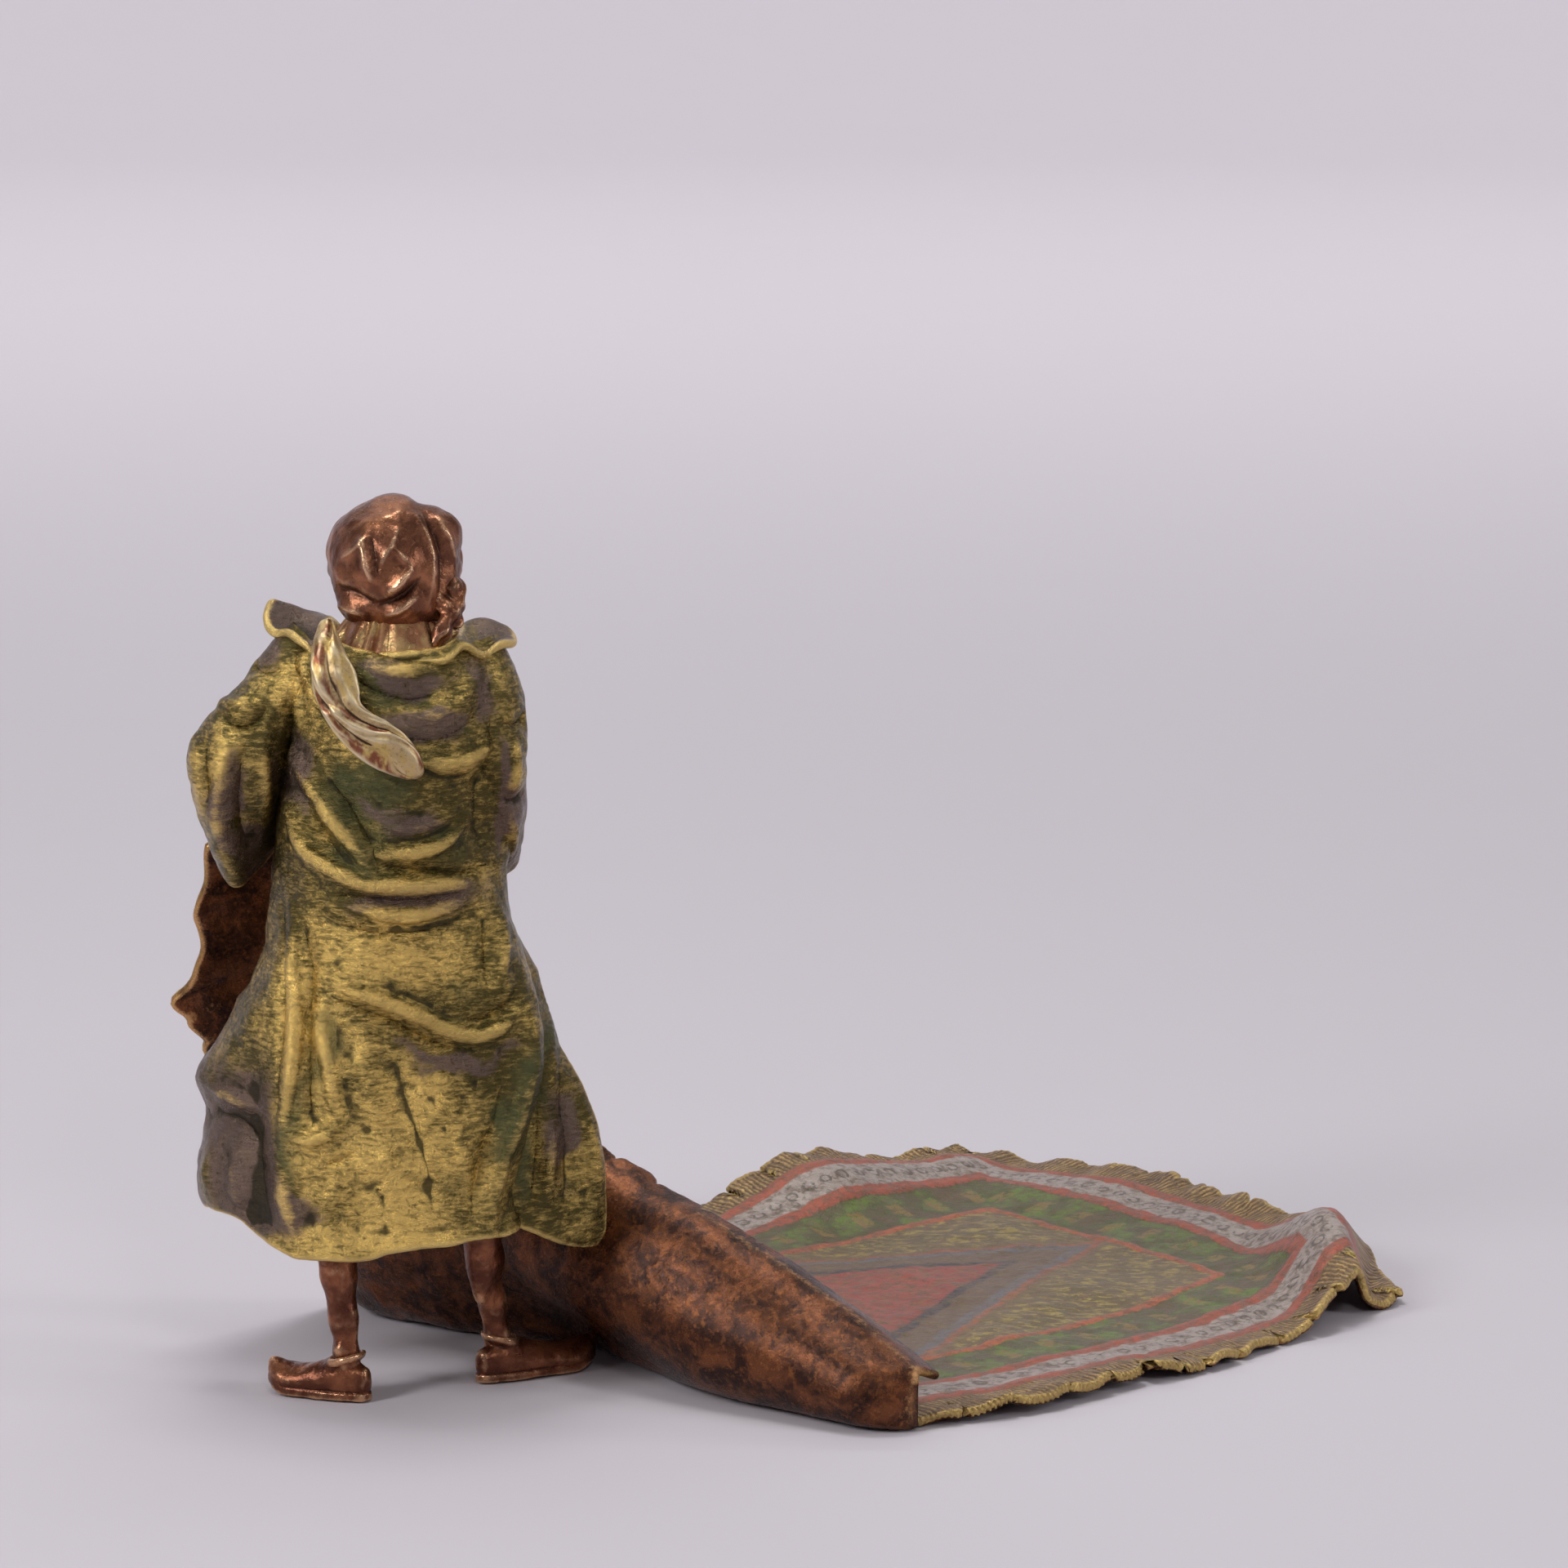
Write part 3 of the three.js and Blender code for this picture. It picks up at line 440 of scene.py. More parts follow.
# ------------------------------------------------------------------ materials
class Paint:
    """A node material. Textures are laid out in millimetres on the object."""

    def __init__(self, name, roughness=0.4, metallic=0.8):
        self.material = bpy.data.materials.new(name)
        self.material.use_nodes = True
        self.tree = self.material.node_tree
        self.shader = self.tree.nodes["Principled BSDF"]
        self.shader.inputs["Roughness"].default_value = roughness
        self.shader.inputs["Metallic"].default_value = metallic
        scale = self.node("ShaderNodeVectorMath", operation="SCALE")
        self.link(self.node("ShaderNodeTexCoord").outputs["Object"], scale.inputs[0])
        scale.inputs["Scale"].default_value = 1000.0
        self.place = scale.outputs[0]

    def node(self, kind, **settings):
        made = self.tree.nodes.new(kind)
        for key, value in settings.items():
            setattr(made, key, value)
        return made

    def link(self, source, target):
        if isinstance(source, (int, float, tuple)):
            target.default_value = source
        else:
            self.tree.links.new(source, target)

    def number(self, name):
        return self.node("ShaderNodeAttribute", attribute_name=name).outputs["Fac"]

    def math(self, operation, a, b=0.0):
        made = self.node("ShaderNodeMath", operation=operation)
        self.link(a, made.inputs[0])
        self.link(b, made.inputs[1])
        return made.outputs[0]

    def add(self, *terms):
        total = terms[0]
        for term in terms[1:]:
            total = self.math("ADD", total, term)
        return total

    def times(self, a, b):
        return self.math("MULTIPLY", a, b)

    def between(self, value, low, high):
        """0 below low, 1 above high, and a soft step between them. low above high turns it round."""
        made = self.node("ShaderNodeMapRange", interpolation_type="SMOOTHSTEP")
        self.link(value, made.inputs["Value"])
        made.inputs["From Min"].default_value = low
        made.inputs["From Max"].default_value = high
        return made.outputs["Result"]

    def noise(self, size, detail=3.0, stretch=(1.0, 1.0, 1.0), rough=0.55, shift=0.0, bend=0.0):
        made = self.node("ShaderNodeTexNoise")
        mapping = self.node("ShaderNodeMapping")
        mapping.inputs["Scale"].default_value = tuple(s / size for s in stretch)
        mapping.inputs["Location"].default_value = (shift, shift * 0.7, -shift)
        self.link(self.place, mapping.inputs["Vector"])
        self.link(mapping.outputs[0], made.inputs["Vector"])
        made.inputs["Scale"].default_value = 1.0
        made.inputs["Detail"].default_value = detail
        made.inputs["Roughness"].default_value = rough
        made.inputs["Distortion"].default_value = bend
        return made.outputs["Fac"]

    def waves(self, value, length):
        """A smooth wave from 0 to 1 along a value in mm."""
        return self.add(self.times(self.math("SINE", self.times(value, 2 * math.pi / length)), 0.5), 0.5)

    def mix(self, share, a, b):
        """Colour a where share is 0 and colour b where it is 1."""
        made = self.node("ShaderNodeMix", data_type="RGBA")
        self.link(share, made.inputs[0])
        for place, colour in ((6, a), (7, b)):  # where the node takes its two colours
            self.link((*colour, 1.0) if isinstance(colour, tuple) else colour, made.inputs[place])
        return made.outputs[2]

    def ramp(self, value, stops):
        made = self.node("ShaderNodeValToRGB")
        elements = made.color_ramp.elements
        elements[0].position, elements[0].color = stops[0][0], (*stops[0][1], 1.0)
        elements[1].position, elements[1].color = stops[-1][0], (*stops[-1][1], 1.0)
        for position, colour in stops[1:-1]:
            elements.new(position).color = (*colour, 1.0)
        self.link(value, made.inputs[0])
        return made.outputs[0]

    def finish(self, colour, heights, roughness=None, metallic=None):
        """heights is a list of (height output, depth in mm)."""
        self.link(colour, self.shader.inputs["Base Color"])
        if roughness is not None:
            self.link(roughness, self.shader.inputs["Roughness"])
        if metallic is not None:
            self.link(metallic, self.shader.inputs["Metallic"])
        normal = None
        for height, depth in heights:
            bump = self.node("ShaderNodeBump")
            bump.inputs["Distance"].default_value = depth / 1000.0
            bump.inputs["Strength"].default_value = 1.0
            self.link(height, bump.inputs["Height"])
            if normal is not None:
                self.link(normal, bump.inputs["Normal"])
            normal = bump.outputs[0]
        self.link(normal, self.shader.inputs["Normal"])
        return self.material


def robe_paint():
    """Olive and gold cold paint, rubbed bright on ridges and painted with a highlight there, green and brown
    in the hollows, with painted shade darkening them.
    """
    p = Paint("robe_olive_gold", metallic=0.85)
    ridge, gold, dark, green = (p.number(n) for n in ("ridge", "gold", "dark", "green"))
    cloud = p.noise(9.0, 5.0, shift=3.0)
    grain = p.noise(0.8, 4.0, rough=0.7)
    streak = p.noise(2.2, 6.0, stretch=(1.0, 1.0, 3.4), rough=0.72, shift=7.0, bend=0.3)
    blotch = p.noise(2.6, 6.0, rough=0.78, shift=11.0, bend=0.8)
    brushed = p.add(p.times(cloud, 0.4), p.times(streak, 0.75), p.times(blotch, 0.5), p.times(gold, 0.26))
    base = p.mix(p.between(brushed, 0.76, 1.12), (0.09, 0.07, 0.02), (0.84, 0.58, 0.17))
    patina = p.add(p.times(green, 0.75), p.times(cloud, 0.35), p.times(streak, 0.35))
    base = p.mix(p.times(p.between(patina, 0.5, 1.0), 0.8), base, (0.08, 0.088, 0.036))
    brown = p.between(p.add(p.times(dark, 0.8), p.times(streak, 0.8), p.times(cloud, 0.3)), 0.72, 0.98)
    base = p.mix(p.times(brown, 0.9), base, (0.17, 0.115, 0.095))
    # hollows darkened to near black: patina that collects there, and painted shade
    hollow_patina_and_shade = p.between(p.add(p.times(ridge, -1.0), p.times(p.add(grain, -0.5), 0.1)), 0.015, 0.17)
    base = p.mix(p.times(hollow_patina_and_shade, 0.85), base, (0.03, 0.027, 0.014))
    speck = p.add(p.times(p.between(grain, 0.54, 0.66), 0.45), p.times(p.between(blotch, 0.57, 0.66), 0.5))
    base = p.mix(speck, base, (0.06, 0.042, 0.016))
    # ridges rubbed through to bright gold, which also stands for a painted highlight on them
    worn_and_lit = p.add(ridge, p.times(p.add(streak, -0.5), 1.2), p.times(p.add(grain, -0.5), 0.3))
    wear_and_highlight = p.between(worn_and_lit, 0.42, 1.05)
    base = p.mix(p.times(wear_and_highlight, 0.6), base, (0.92, 0.64, 0.2))
    rim = p.between(p.add(p.number("border"), p.times(streak, 1.6)), 2.0, 1.2)
    base = p.mix(p.times(rim, 0.8), base, (0.84, 0.6, 0.2))
    dull = p.add(
        0.1, p.times(grain, 0.22), p.times(hollow_patina_and_shade, 0.16), p.times(wear_and_highlight, -0.04), p.times(brown, 0.04),
    )
    return p.finish(base, [(p.noise(3.2, 5.0, shift=5.0), 0.45), (streak, 0.38), (grain, 0.18)], dull)


def copper_paint(name, body, bright, deep, cloud_size=6.0):
    """Red-brown patina with copper showing on the ridges, made brighter there as a painted highlight, and
    painted shade in the hollows.
    """
    p = Paint(name, metallic=0.75)
    ridge = p.number("ridge")
    cloud = p.noise(cloud_size, 5.0, shift=2.0)
    grain = p.noise(0.8, 4.0, rough=0.7)
    base = p.mix(p.between(cloud, 0.4, 0.68), deep, body)
    # hollows darkened: painted shade, with the patina darker there too
    hollow_patina_and_shade = p.between(p.times(ridge, -1.0), 0.01, 0.14)
    base = p.mix(p.times(hollow_patina_and_shade, 0.8), base, tuple(c * 0.3 for c in deep))
    # ridges rubbed to bare copper, which also serves as a painted highlight
    worn_and_lit = p.add(ridge, p.times(p.add(grain, -0.5), 0.05), p.times(p.add(cloud, -0.5), 0.08))
    wear_and_highlight = p.between(worn_and_lit, 0.06, 0.26)
    base = p.mix(p.times(wear_and_highlight, 0.75), base, bright)
    dull = p.add(0.2, p.times(grain, 0.18), p.times(wear_and_highlight, -0.04))
    return p.finish(base, [(p.noise(2.4, 4.0, shift=1.0), 0.25), (grain, 0.08)], dull)


def scarf_paint():
    """Silver and red paint over brass, in bands that follow the twist of the cloth."""
    p = Paint("scarf_silver_red", metallic=0.8)
    ridge, twist = p.number("ridge"), p.number("twist")
    grain = p.noise(0.8, 4.0, rough=0.7)
    cloud = p.noise(3.0, 4.0, stretch=(1.0, 1.0, 0.5))
    red = p.between(p.add(p.waves(twist, 1.0), p.times(p.add(cloud, -0.5), 2.2)), 0.62, 0.9)
    base = p.mix(red, (0.56, 0.4, 0.2), (0.24, 0.08, 0.04))
    base = p.mix(p.between(cloud, 0.5, 0.62), base, (0.58, 0.4, 0.14))
    base = p.mix(p.times(p.between(grain, 0.5, 0.7), 0.5), base, (0.1, 0.055, 0.03))
    # painted shade in the hollows of the twist
    base = p.mix(p.between(p.times(ridge, -1.0), 0.01, 0.14), base, (0.07, 0.035, 0.02))
    # painted highlight on the ridges of the twist
    base = p.mix(p.times(p.between(ridge, 0.08, 0.26), 0.8), base, (0.84, 0.7, 0.45))
    return p.finish(base, [(cloud, 0.18), (grain, 0.1)], p.add(0.3, p.times(grain, 0.2)))


def underside_paint():
    """Dark red-brown patina of the carpet's back with orange mottling."""
    p = Paint("carpet_back_brown", metallic=0.7)
    ridge = p.number("ridge")
    cloud = p.noise(5.0, 6.0, rough=0.65, bend=0.6)
    fleck = p.noise(1.1, 5.0, rough=0.75, bend=0.3, shift=4.0)
    base = p.mix(p.between(cloud, 0.38, 0.66), (0.03, 0.01, 0.006), (0.17, 0.056, 0.02))
    base = p.mix(p.times(p.between(fleck, 0.5, 0.72), 0.42), base, (0.42, 0.15, 0.04))
    # ridges rubbed pale, plus a painted highlight along the top of the roll
    worn_and_lit = p.add(ridge, p.times(p.number("crest_highlight"), 0.22), p.times(p.add(fleck, -0.5), 0.5))
    wear_and_highlight = p.between(worn_and_lit, 0.16, 0.42)
    base = p.mix(p.times(p.times(wear_and_highlight, p.number("worn_and_lit")), 0.75), base, (0.66, 0.36, 0.15))
    rim = p.between(p.add(p.number("border"), p.times(fleck, 4.0)), 2.6, 1.8)
    base = p.mix(p.times(rim, 0.7), base, (0.5, 0.3, 0.09))
    dull = p.add(0.15, p.times(fleck, 0.24))
    return p.finish(base, [(cloud, 0.12), (fleck, 0.12), (p.noise(0.9, 4.0, rough=0.7), 0.08)], dull)


EDGE_SPAN = 40.0  # mm of border covered by the colour ramp
BAND_COLOURS = {
    "red": (0.4, 0.1, 0.055),
    "silver": (0.42, 0.35, 0.31),
    "green": (0.1, 0.105, 0.035),
    "orange": (0.46, 0.13, 0.055),
    "fringe": (0.2, 0.12, 0.06),
    "ground": (0.2, 0.125, 0.07),
}
SILVER_FROM, SILVER_TO = 10.6, 17.4  # mm from the edge
GREEN_FROM, GREEN_TO = 20.2, 32.2
FIELD_FROM = 34.4
# Bands from the outer edge inwards: where each starts, in mm, and its colour.
BANDS = [
    (0.0, "fringe"), (8.0, "red"), (SILVER_FROM, "silver"), (SILVER_TO, "red"), (GREEN_FROM, "green"),
    (GREEN_TO, "orange"), (FIELD_FROM, "ground"),
]
BAND_BLUR = 0.18  # mm to each side of a line between two bands
SPOT_SPACING = 9.5  # mm between bright spots along the green band
RING_SPACING = 2.0
TICK_SPACING = 1.7
THREAD_SPACING = 0.95  # mm between the threads of the fringe
FIELD_DEPTH = 160.0  # mm from the roll covered by the chevrons' ramp
CHEVRONS = [  # share of that depth, colour
    (0.0, (0.4, 0.1, 0.06)), (0.2, (0.34, 0.07, 0.045)), (0.36, (0.42, 0.09, 0.06)),
    (0.495, (0.36, 0.08, 0.055)), (0.505, (0.06, 0.055, 0.06)), (0.525, (0.07, 0.06, 0.062)),
    (0.535, (0.2, 0.13, 0.085)), (0.605, (0.17, 0.115, 0.075)), (0.615, (0.17, 0.16, 0.17)),
    (0.64, (0.16, 0.15, 0.155)), (0.65, (0.4, 0.13, 0.06)), (0.662, (0.34, 0.12, 0.06)),
    (0.672, (0.2, 0.14, 0.06)), (0.8, (0.16, 0.125, 0.05)), (1.0, (0.18, 0.13, 0.06)),
]
THREAD_COLOURS = [
    (0.15, (0.09, 0.052, 0.03)), (0.4, (0.27, 0.165, 0.085)), (0.66, (0.42, 0.27, 0.12)),
    (0.85, (0.64, 0.46, 0.16)),
]


def carpet_paint():
    """The painted face of the carpet: bands along its edges, and a field with a pointed medallion."""
    p = Paint("carpet_painted_face", metallic=0.35)
    ridge, edge, run = p.number("ridge"), p.number("edge"), p.number("run")
    wobble = p.noise(4.0, 3.0, shift=6.0)
    cloud = p.noise(7.0, 5.0, shift=1.0)
    dab = p.noise(1.9, 4.0, rough=0.7, shift=9.0, bend=0.5)
    grain = p.noise(0.7, 3.0, rough=0.7)
    painted = p.add(edge, p.times(p.add(wobble, -0.5), 1.8))
    stops = []
    for (start, name), following in zip(BANDS, BANDS[1:] + [(EDGE_SPAN, None)]):
        stops.append(((start + BAND_BLUR) / EDGE_SPAN, BAND_COLOURS[name]))
        stops.append(((following[0] - BAND_BLUR) / EDGE_SPAN, BAND_COLOURS[name]))
    stops[0] = (0.0, stops[0][1])
    stops[-1] = (1.0, stops[-1][1])
    base = p.ramp(p.times(painted, 1 / EDGE_SPAN), stops)

    # green: olive patches and bright spots with ochre
    in_green = p.times(
        p.between(painted, GREEN_FROM, GREEN_FROM + 0.6), p.between(painted, GREEN_TO + 0.4, GREEN_TO),
    )
    base = p.mix(p.times(in_green, p.between(cloud, 0.5, 0.6)), base, (0.14, 0.2, 0.035))
    base = p.mix(p.times(in_green, p.between(cloud, 0.47, 0.4)), base, (0.13, 0.095, 0.04))
    from_middle = p.math("ABSOLUTE", p.add(painted, -26.3))
    spots = p.times(p.between(p.waves(run, SPOT_SPACING), 0.72, 0.85), p.between(from_middle, 3.0, 2.3))
    base = p.mix(p.times(p.times(spots, in_green), p.between(dab, 0.42, 0.55)), base, (0.34, 0.23, 0.05))
    # silver: dark scribbles in a row
    in_silver = p.times(
        p.between(painted, SILVER_FROM, SILVER_FROM + 0.6), p.between(painted, SILVER_TO, SILVER_TO - 0.6),
    )
    middle = p.math("ABSOLUTE", p.add(painted, -14.1))
    phase = p.math("PINGPONG", run, RING_SPACING)
    radius = p.math("SQRT", p.add(p.times(middle, middle), p.times(phase, phase)))
    ring = p.math("ABSOLUTE", p.add(radius, -1.0))
    scribble = p.times(p.between(ring, 0.42, 0.12), p.between(dab, 0.38, 0.5))
    base = p.mix(p.times(p.times(in_silver, scribble), 0.8), base, (0.08, 0.07, 0.06))
    base = p.mix(p.times(p.times(in_silver, p.between(dab, 0.58, 0.66)), 0.7), base, (0.09, 0.08, 0.07))
    # red lines: broken by a ladder of dark ticks
    ticks = p.times(p.between(p.waves(run, TICK_SPACING), 0.6, 0.85), p.between(painted, 19.4, 20.4))
    near_line = p.between(painted, 20.6, 20.2)
    base = p.mix(p.times(p.times(ticks, near_line), 0.6), base, (0.1, 0.05, 0.03))

    # field: chevrons round a pointed medallion
    inside = p.between(painted, FIELD_FROM - 0.4, FIELD_FROM)
    across, out = p.number("across"), p.number("out")
    chevron = p.add(out, p.times(p.math("ABSOLUTE", across), 2.15), p.times(p.add(wobble, -0.5), 5.0))
    field = p.ramp(p.times(chevron, 1 / FIELD_DEPTH), CHEVRONS)
    brush = p.noise(2.2, 5.0, stretch=(0.6, 1.5, 1.0), rough=0.7, shift=12.0, bend=0.4)
    field = p.mix(p.times(p.between(brush, 0.52, 0.64), 0.55), field, (0.11, 0.075, 0.05))
    outside = p.between(chevron, 108.0, 112.0)
    glint = p.times(p.between(brush, 0.5, 0.58), p.add(0.25, p.times(outside, 0.65)))
    field = p.mix(glint, field, (0.5, 0.37, 0.1))
    field = p.mix(p.times(p.between(dab, 0.6, 0.68), 0.7), field, (0.4, 0.12, 0.055))
    base = p.mix(inside, base, field)

    # fringe: metal threads side by side
    thread = p.waves(p.add(run, p.times(p.add(dab, -0.5), 1.6)), THREAD_SPACING)
    fringe = p.between(painted, 8.1, 7.3)
    threads = p.ramp(p.add(p.times(thread, 0.5), p.times(cloud, 0.5)), THREAD_COLOURS)
    base = p.mix(fringe, base, threads)
    # age: grime in patches, painted shade in the hollows, brass on the ridges standing for rubbed metal and a
    # painted highlight, and brass at the rim
    base = p.mix(p.times(p.between(dab, 0.42, 0.62), 0.62), base, (0.15, 0.1, 0.065))
    base = p.mix(p.times(p.between(brush, 0.53, 0.68), 0.5), base, (0.065, 0.042, 0.028))
    # painted shade in the hollows
    base = p.mix(p.between(p.times(ridge, -1.0), 0.03, 0.25), base, (0.05, 0.03, 0.02))
    # brass on the ridges: rubbed metal and a painted highlight
    wear_and_highlight = p.between(p.add(ridge, p.times(p.add(dab, -0.5), 0.22)), 0.1, 0.34)
    base = p.mix(p.times(wear_and_highlight, p.add(0.3, p.times(fringe, 0.6))), base, (0.68, 0.5, 0.17))
    rim = p.between(p.add(p.number("border"), p.times(cloud, 4.0)), 3.3, 2.3)
    base = p.mix(p.times(rim, 0.75), base, (0.62, 0.43, 0.15))
    metallic = p.add(0.3, p.times(fringe, 0.35), p.times(wear_and_highlight, 0.2))
    threads_high = p.times(thread, fringe)
    relief = p.add(p.times(dab, 0.6), p.times(brush, 0.5))
    dull = p.add(0.24, p.times(grain, 0.24))
    return p.finish(base, [(threads_high, 0.12), (relief, 0.55), (grain, 0.12)], dull, metallic)


SASH_WINDING = 2.4  # mm of height taken by each turn of the sash


def tunic_paint():
    """Cream cold paint with brown stripes, a red sash at the waist and a gold hem."""
    p = Paint("tunic_cream", metallic=0.35)
    ridge, height, turn = p.number("ridge"), p.number("height"), p.number("turn")
    cloud = p.noise(6.0, 5.0, shift=2.0)
    grain = p.noise(0.9, 4.0, rough=0.7)
    base = p.mix(p.between(cloud, 0.4, 0.65), (0.3, 0.24, 0.15), (0.46, 0.39, 0.26))
    stripe = p.between(p.waves(turn, 5.2), 0.8, 0.9)
    base = p.mix(p.times(stripe, 0.7), base, (0.2, 0.07, 0.045))
    sash = p.times(p.between(height, 88.2, 88.8), p.between(height, 98.8, 98.2))
    winding = p.between(p.waves(height, SASH_WINDING), 0.35, 0.65)
    base = p.mix(sash, base, p.mix(winding, (0.16, 0.035, 0.025), (0.4, 0.09, 0.045)))
    hem = p.between(height, 37.0, 36.4)
    base = p.mix(hem, base, (0.55, 0.42, 0.15))
    # painted shade in the hollows of the folds
    base = p.mix(p.between(p.times(ridge, -1.0), 0.02, 0.2), base, (0.07, 0.045, 0.03))
    # painted highlight on the ridges of the folds
    base = p.mix(p.times(p.between(ridge, 0.07, 0.25), 0.8), base, (0.74, 0.6, 0.3))
    return p.finish(base, [(cloud, 0.12), (grain, 0.07)], p.add(0.38, p.times(grain, 0.2)))


def skin_paint():
    """Painted face: brown skin, grey beard, pale eyes with dark irises."""
    p = Paint("face_bronze", metallic=0.4)
    ridge = p.number("ridge")
    cloud = p.noise(3.0, 4.0)
    grain = p.noise(0.5, 4.0, rough=0.7)
    base = p.mix(p.between(cloud, 0.4, 0.65), (0.2, 0.085, 0.045), (0.32, 0.145, 0.08))
    # painted highlight on the raised features
    base = p.mix(p.between(ridge, 0.05, 0.25), base, (0.52, 0.27, 0.16))
    # painted shade in the recesses
    base = p.mix(p.between(p.times(ridge, -1.0), 0.04, 0.2), base, (0.06, 0.025, 0.016))
    hair = p.between(p.add(p.number("hair"), p.times(p.add(grain, -0.5), 0.5)), 0.35, 0.65)
    strands = p.noise(0.5, 3.0, stretch=(1.6, 1.6, 0.5))
    base = p.mix(hair, base, p.mix(p.between(strands, 0.42, 0.6), (0.045, 0.035, 0.03), (0.2, 0.17, 0.15)))
    base = p.mix(p.number("lip"), base, (0.3, 0.09, 0.07))
    base = p.mix(p.number("eye"), base, (0.66, 0.6, 0.5))
    base = p.mix(p.number("iris"), base, (0.02, 0.013, 0.01))
    dull = p.add(0.36, p.times(grain, 0.15), p.times(hair, 0.15))
    return p.finish(base, [(grain, 0.04), (p.times(strands, hair), 0.12)], dull)


def brass_metal():
    p = Paint("bare_brass", metallic=1.0)
    grain = p.noise(0.8, 4.0, rough=0.7)
    base = p.mix(p.between(p.noise(2.5, 4.0), 0.4, 0.62), (0.42, 0.27, 0.08), (0.8, 0.62, 0.24))
    return p.finish(base, [(grain, 0.06)], p.add(0.26, p.times(grain, 0.2)))


# ------------------------------------------------------------------ tints of the robe, on the back plane
# Patches of (x, z, half width, half height, strength).
GOLD_PATCHES = [
    (2, 40, 16, 13, 0.9), (0, 78, 15, 6, 0.8), (13, 62, 5, 14, 0.7), (15, 122, 5, 6, 0.5),
    (-6, 122, 6, 3, 0.25),
    (10, 99, 5, 6, 0.5), (4, 28, 20, 3, 0.7), (30, 108, 4, 8, 0.6), (-31, 38, 3, 8, 0.5),
    (-12, 91, 5, 3, 0.4),
    (20, 66, 6, 10, 0.5), (-4, 53, 9, 5, 0.5),
]
DARK_PATCHES = [
    (-2, 117, 6, 3, 0.7), (-3, 101, 8, 3, 0.7), (-2, 88.5, 10, 2.6, 1.0), (27, 46, 7, 14, 1.0),
    (21, 33, 7, 4, 0.7),
    (27, 102, 3, 9, 0.9), (21, 129, 4, 3, 0.6), (-9, 62, 8, 2, 0.8), (-19, 104, 2, 10, 0.8),
    (-7, 58, 5, 2, 0.5),
    (-27, 48, 3, 8, 0.7), (18, 110, 2.5, 9, 0.6), (-1, 126, 9, 2.4, 0.8), (-16, 122, 3, 5, 0.5),
    (-6, 119.5, 6, 1.6, 0.5),
]
GREEN_PATCHES = [
    (7, 104, 7, 9, 1.0), (-8, 97, 5, 4, 0.7), (2, 124, 8, 4, 0.8), (-9, 117, 5, 3, 0.5),
    (-24, 59, 3, 9, 1.0), (17.5, 45, 2.5, 12, 0.8),
    (14, 60, 3, 12, 0.7), (-19, 46, 3, 14, 1.0), (3, 108, 8, 4, 0.8), (-11, 38, 4, 8, 0.4),
    (10, 94, 6, 3, 0.6),
    (-12, 72, 5, 4, 0.5),
]


def tints(points):
    """Shares of gold, dark and green paint at each point of the robe."""
    x, z = on_back_plane(points)
    x = x + rough(points, 8.0, 2, 301) * 4.0
    z = z + rough(points, 7.0, 2, 303) * 3.0
    far_side = smoothstep(2.0, -6.0, points[:, 1]) * 0.35
    result = {}
    for name, patches in (("gold", GOLD_PATCHES), ("dark", DARK_PATCHES), ("green", GREEN_PATCHES)):
        total = far_side * (name != "gold")
        for px, pz, wide, high, strength in patches:
            total = total + strength * np.exp(-(((x - px) / wide) ** 2) - (((z - pz) / high) ** 2))
        result[name] = np.clip(total, 0, 1)
    return result


# ------------------------------------------------------------------ robe: back and left side, open in front
HEM = [
    (31.5, 35.3), (29.5, 34.3), (27.8, 33.3), (26.3, 31), (24, 28.8), (22, 27), (19.5, 26), (15, 25.6),
    (10, 25.3),
    (7, 25.6), (4, 26.5), (0, 27.2), (-5, 27.6), (-8, 28), (-11, 28.9), (-14, 29.4), (-17, 29.9), (-18.8, 31),
]
ROBE_TOP = 128.9
LEFT_OUTLINE = [  # (z, x) of the left side
    (26, 28), (35.3, 32), (37, 33.3), (39, 33.9), (43, 33.6), (48, 32.5), (51.5, 32.2), (55, 33), (58, 33.4),
    (60.5, 32.4), (63.5, 30.5), (66.5, 28.7), (70, 27), (73, 25), (76.5, 23.3), (80, 22), (85, 21.3),
    (90, 20.5),
    (97, 20), (104, 19.2), (112, 19), (119.5, 19.5), (125, 20), (129, 16.5), (131.5, 12),
]
RIGHT_OUTLINE = [  # (z, x) where the back meets the right side
    (26, -18), (31, -18.9), (38, -18.2), (44, -19.2), (50, -20.8), (55, -21.8), (60, -22.4), (65, -22.6),
    (70, -21.8),
    (75, -20.4), (80, -18.9), (84, -17.6), (90, -16.9), (97, -16.6), (104, -16.6), (112, -17), (119, -17.4),
    (124, -16.8), (128.5, -14.5), (131.5, -10.5),
]
BACK_DEPTH = [(24, 16), (35, 15.6), (50, 15), (62, 14.5), (72, 14.2), (82, 13.6), (90, 14.2), (97, 13.2),
              (112, 13.8),
              (122, 12.4), (128, 10.6), (132, 8.4)]
LEFT_DEPTH = [(24, -5), (75, -5), (90, -6), (112, -8), (132, -9)]
RIGHT_DEPTH = [(24, 4.5), (70, 4), (84, -1), (92, -6), (112, -8), (132, -9)]
HOOD_HEM = [(-19, 121), (-15, 115), (-13, 112.4), (-9, 110), (-5, 110.3), (0, 111.4), (6, 114), (11, 119),
            (14, 124),
            (17, 131)]

